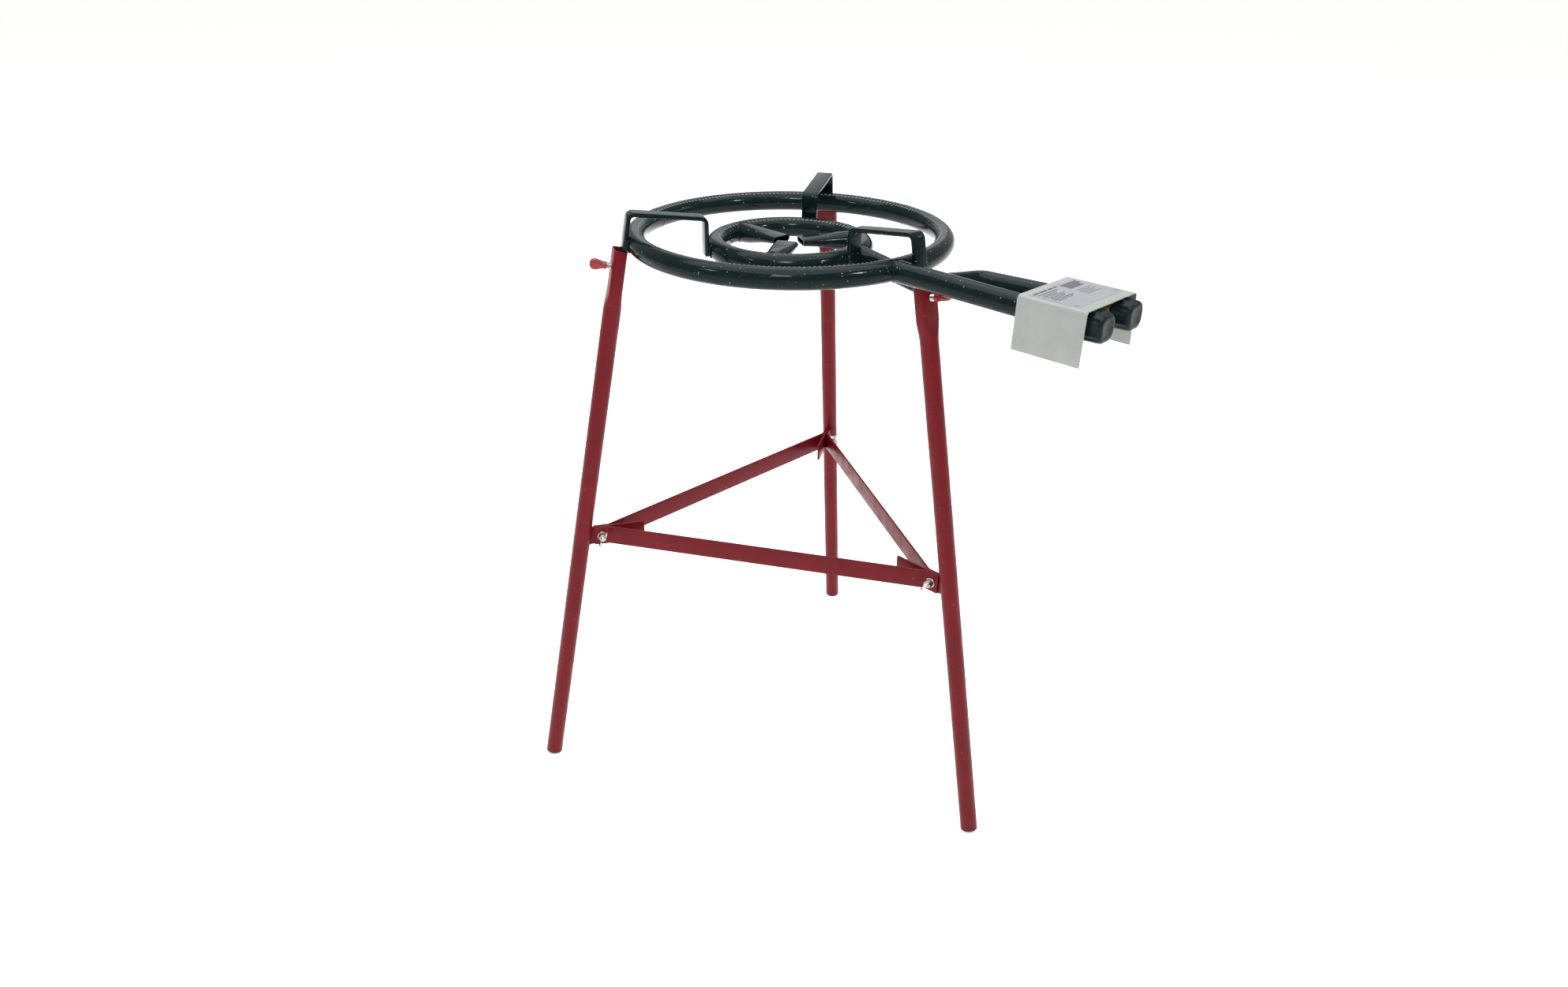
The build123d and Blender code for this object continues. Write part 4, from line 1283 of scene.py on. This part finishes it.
@dataclass
class Tap:
    """Gas tap: gland nut, spring and knob of one ring's tap; the rest keeps the frame's shape."""

    ring: str
    side: int
    gland: tuple[float, float] = (418.0, 424.0)
    across: float = 15.0
    knob_back: float = 430.0
    knob_length: float = 20.0
    knob_width: float = 30.5
    knob_corner: float = 11.0
    # height above the knob's back and how far its sides have drawn in
    knob_rows: tuple[Pair, ...] = ((0.0, 0.0), (0.35, 0.0), (5.0, 0.1), (10.0, 0.25), (14.5, 0.45),
                                   (16.5, 0.7), (17.9, 1.2), (19.0, 2.2), (19.6, 3.4), (20.0, 5.8))
    ribs: int = 4
    rib_depth: float = 0.85
    shell: float = 2.0
    plug_end: float = 411.0
    collar: float = 416.5
    push: float = 3.0
    wire: float = 0.7
    coil_r: float = 3.6
    coil_turns: int = 4
    coil_span: tuple[float, float] = (0.5, 5.0)

    def gland_nut(self) -> BMesh:
        """Chamfered hexagon round the spindle."""
        height = self.gland[1] - self.gland[0]
        nut = slab(hexagon(self.across), 0.0, height)
        return placed(round_edges(nut, 0.7, 2, sharper=80.0), tap_place(self.side, self.gland[0]))

    def knob(self) -> BMesh:
        """Rounded-square shell with ribbed sides and a soft front, on a boss."""
        place = tap_place(self.side, self.knob_back)
        stations = []
        for height, inset in self.knob_rows:
            wide = self.knob_width - 2 * inset
            stations.append(Station(Matrix.Translation((0, 0, height)), wide, wide,
                                    max(self.knob_corner - inset * 0.8, 2.0)))
        shape = loft(stations, 96)
        for vert in shape.verts:
            if 0.2 < vert.co.z < 17.0:
                bearing = Vector((1, 0)).angle_signed(Vector((vert.co.x, vert.co.y)), 0.0)
                groove = 0.5 - 0.5 * cos(bearing * 4 * self.ribs)
                vert.co -= Vector((vert.co.x, vert.co.y, 0)).normalized() * self.rib_depth * groove
        front = max(shape.faces, key=lambda f: f.calc_center_median().z if len(f.verts) > 8 else -1.0)
        bmesh.ops.inset_region(shape, faces=[front], thickness=2.0, depth=-0.5, use_even_offset=True)
        back = min(shape.faces, key=lambda f: f.calc_center_median().z if len(f.verts) > 8 else 99.0)
        bmesh.ops.inset_region(shape, faces=[back], thickness=self.shell, use_even_offset=True)
        deep = bmesh.ops.extrude_discrete_faces(shape, faces=[back])["faces"]
        for vert in deep[0].verts:
            vert.co.z += self.knob_length - 4.0
            vert.co.x *= 0.95
            vert.co.y *= 0.95
        boss = turning([(2.55, 0.0), (5.3, 0.0), (5.5, 0.3), (5.5, 16.6), (2.55, 16.6)], 32, closed=True)
        return placed(joined([shape, boss]), place)

    def coil(self) -> BMesh:
        """Return spring round the spindle, closed on the plug."""
        place = tap_place(self.side, self.plug_end)
        low, high = self.coil_span
        steps = self.coil_turns * 24
        points = [place @ Vector((self.coil_r * cos(i * pi / 12), self.coil_r * sin(i * pi / 12),
                                  low + (high - low) * i / steps)) for i in range(steps + 1)]
        return rod(points, [self.wire / 2] * len(points))

    def build(self) -> None:
        """Make the knob and the spring; the gland nuts of both taps are one piece."""
        name = f"{self.ring}_tap_knob"
        finish_piece(name, name, self.knob(), Slot.KNOB, crease=40.0)
        name = f"{self.ring}_tap_spring"
        coil = finish_piece(name, f"{self.ring}_tap_plug", self.coil(), Slot.SPRING)
        fixed_end = tap_place(self.side, self.plug_end).translation * MM
        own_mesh(coil)


@dataclass
class GasTrain:
    """Manifold and hose tail below the pipes; the brackets that hold them are not made here."""

    manifold_reach: float = 398.0
    manifold_r: float = 6.0
    manifold_half: float = 38.0
    manifold_height: float = 711.0
    tail_r: float = 4.5
    tail_length: float = 18.0

    def nozzle(self) -> BMesh:
        """Hexagon and ribbed tail for the gas hose."""
        top = self.manifold_height - self.manifold_r
        nut = placed(round_edges(slab(hexagon(12.0), -5.0, 1.0), 0.6, 2, sharper=80.0),
                     Matrix.Translation((0, RING_Y - self.manifold_reach, top)))
        profile = [(2.5, -4.0), (3.9, -4.0), (3.9, -7.0)]
        for rib in range(4):
            low = -9.6 - 3.4 * rib
            profile += [(3.7, low + 2.6), (self.tail_r, low + 2.2), (3.8, low)]
        profile += [(3.4, -5.0 - self.tail_length), (2.5, -5.0 - self.tail_length)]
        tail = placed(turning(profile, 32, closed=True),
                      Matrix.Translation((0, RING_Y - self.manifold_reach, top)))
        return joined([nut, tail])

    def tube(self) -> BMesh:
        """Manifold with rounded, closed ends."""
        r, half = self.manifold_r, self.manifold_half
        profile = [(0.0, -half), (r - 1.0, -half), (r - 0.3, -half + 0.3), (r, -half + 1.0),
                   (r, half - 1.0), (r - 0.3, half - 0.3), (r - 1.0, half), (0.0, half)]
        place = axes(Vector((0, RING_Y - self.manifold_reach, self.manifold_height)),
                     Vector((0, 1, 0)), Vector((1, 0, 0)))
        return placed(turning(profile, 40), place)

    def build(self) -> list[bpy.types.Object]:
        """Make the manifold and the hose nozzle."""
        return [finish_piece("gas_manifold", STAND, self.tube(), Slot.BRASS),
                finish_piece("hose_nozzle", STAND, self.nozzle(), Slot.BRASS)]


# ---------------------------------------------------------------- studio
@dataclass(frozen=True)
class Lamp:
    """Square soft box: where it hangs and its side, in metres, and its power in watts."""

    name: str
    spot: tuple[float, float, float]
    size: float
    power: float
    glint: bool = False


@dataclass
class Studio:
    """Camera, pale floor, and soft light from above and from both sides."""

    eye: tuple[float, float, float] = (-957.1, -803.2, 1065.8)
    turn: tuple[float, float, float] = (62.59, 0.61, -45.73)
    lens: float = 25.18
    sensor: float = 36.0
    floor_half: float = 40.0
    surround: float = 0.47
    lamps: tuple[Lamp, ...] = (
        Lamp("overhead", (0.0, 0.3, 4.2), 5.0, 225.0),
        Lamp("key", (-1.72, -1.24, 2.6), 0.5, 11.0),
        Lamp("side", (2.1, -1.2, 1.9), 0.6, 4.0),
        Lamp("rear", (2.2, 2.3, 2.3), 2.2, 9.0),
        Lamp("key_glint", (-1.72, -1.24, 2.6), 0.34, 34.0, glint=True),
        Lamp("right_glint", (0.2, -2.1, 2.3), 0.3, 18.0, glint=True),
        Lamp("left_glint", (-2.1, 0.65, 2.2), 0.2, 5.0, glint=True))
    aim: tuple[float, float, float] = (0.0, RING_Y * MM, 0.5)

    def camera(self) -> None:
        """Set the camera at its place, lens and turn."""
        data = bpy.data.cameras.new("camera")
        data.lens, data.sensor_width, data.sensor_fit = self.lens, self.sensor, "HORIZONTAL"
        data.clip_start, data.clip_end = 0.05, 60.0
        pitch, roll, yaw = (radians(a) for a in self.turn)
        turn = Matrix.Rotation(yaw, 4, "Z") @ Matrix.Rotation(pitch, 4, "X") @ Matrix.Rotation(roll, 4, "Z")
        holder = bpy.data.objects.new("camera", data)
        holder.matrix_world = Matrix.Translation(Vector(self.eye) * MM) @ turn
        bpy.context.scene.collection.objects.link(holder)
        bpy.context.scene.camera = holder

    def floor(self) -> None:
        """Pale matt floor."""
        shape = bmesh.new()
        bmesh.ops.create_grid(shape, x_segments=1, y_segments=1, size=self.floor_half)
        mesh = bpy.data.meshes.new("floor")
        shape.to_mesh(mesh)
        shape.free()
        paper = Finish("pale matt floor", "fafaf8", roughness=0.9, specular=0.0, glow=0.56)
        mesh.materials.append(paper.material())
        ground = bpy.data.objects.new("floor", mesh)
        bpy.context.scene.collection.objects.link(ground)

    def light(self) -> None:
        """Even pale surroundings, soft boxes, and small lamps that show only as reflections."""
        world = bpy.data.worlds.new("studio")
        world.use_nodes = True
        inputs = world.node_tree.nodes["Background"].inputs
        inputs["Color"].default_value = linear("ffffff")
        inputs["Strength"].default_value = self.surround
        bpy.context.scene.world = world
        for lamp in self.lamps:
            data = bpy.data.lights.new(lamp.name, "AREA")
            data.shape, data.size, data.energy = "SQUARE", lamp.size, lamp.power
            holder = bpy.data.objects.new(lamp.name, data)
            holder.visible_diffuse = not lamp.glint
            turn = (Vector(self.aim) - Vector(lamp.spot)).to_track_quat("-Z", "Y")
            holder.matrix_world = Matrix.Translation(lamp.spot) @ turn.to_matrix().to_4x4()
            bpy.context.scene.collection.objects.link(holder)

    def build(self) -> None:
        """Make the whole studio, shown without a film look so that colours stay true."""
        self.camera()
        self.floor()
        self.light()
        bpy.context.scene.view_settings.view_transform = "Standard"


def dress_frame() -> None:
    """Give every node of the frame the finish of its slot, for those that stay in sight."""
    finishes = {slot.value: finish for slot, finish in SLOT_FINISH.items()}
    for subpart in frame["record"]["subparts"]:
        mesh = frame["nodes"][subpart["node"]].data
        finish = finishes[subpart["material_slot"]].material()
        if not mesh.materials:
            mesh.materials.append(finish)
        for number in range(len(mesh.materials)):
            mesh.materials[number] = finish


def main() -> None:
    """Build every sub-assembly in order."""
    logging.basicConfig(level=logging.INFO, format="%(name)s: %(message)s")
    Studio().build()
    dress_frame()
    FlameRing("outer_ring", RING_R, RING_Z, OUTER_PORTS).build()
    FlameRing("inner_ring", INNER_R, INNER_Z, INNER_PORTS).build()
    FeedPipe("outer_feed_pipe", OUTER_FEED, -1, RING_R, RING_Z).build()
    FeedPipe("inner_feed_pipe", INNER_FEED, 1, INNER_R, INNER_Z).build()
    bolts = []
    for leg, fit in FITTINGS.items():
        FlameStub(leg).build()
        PanSupport(leg).build()
        TripodLeg(leg).build()
        joint = BraceJoint(leg, fit.nut_side, fit.nut_turn)
        joint.build()
        bolts.append(joint.bolt())
        ThumbScrew(leg, fit.head_turn, fit.screw_drop).build()
    finish_piece("brace_bolts", STAND, joined(bolts), Slot.ZINC)
    for first, second in ((Leg.FRONT, Leg.RIGHT), (Leg.RIGHT, Leg.LEFT), (Leg.LEFT, Leg.FRONT)):
        Brace(first, second).build()
    HeatShield().build()
    taps = (Tap("outer", -1), Tap("inner", 1))
    for tap in taps:
        tap.build()
    finish_piece("gland_nuts", STAND, joined(tap.gland_nut() for tap in taps), Slot.BRASS)
    GasTrain().build()


if __name__ == "__main__":
    main()
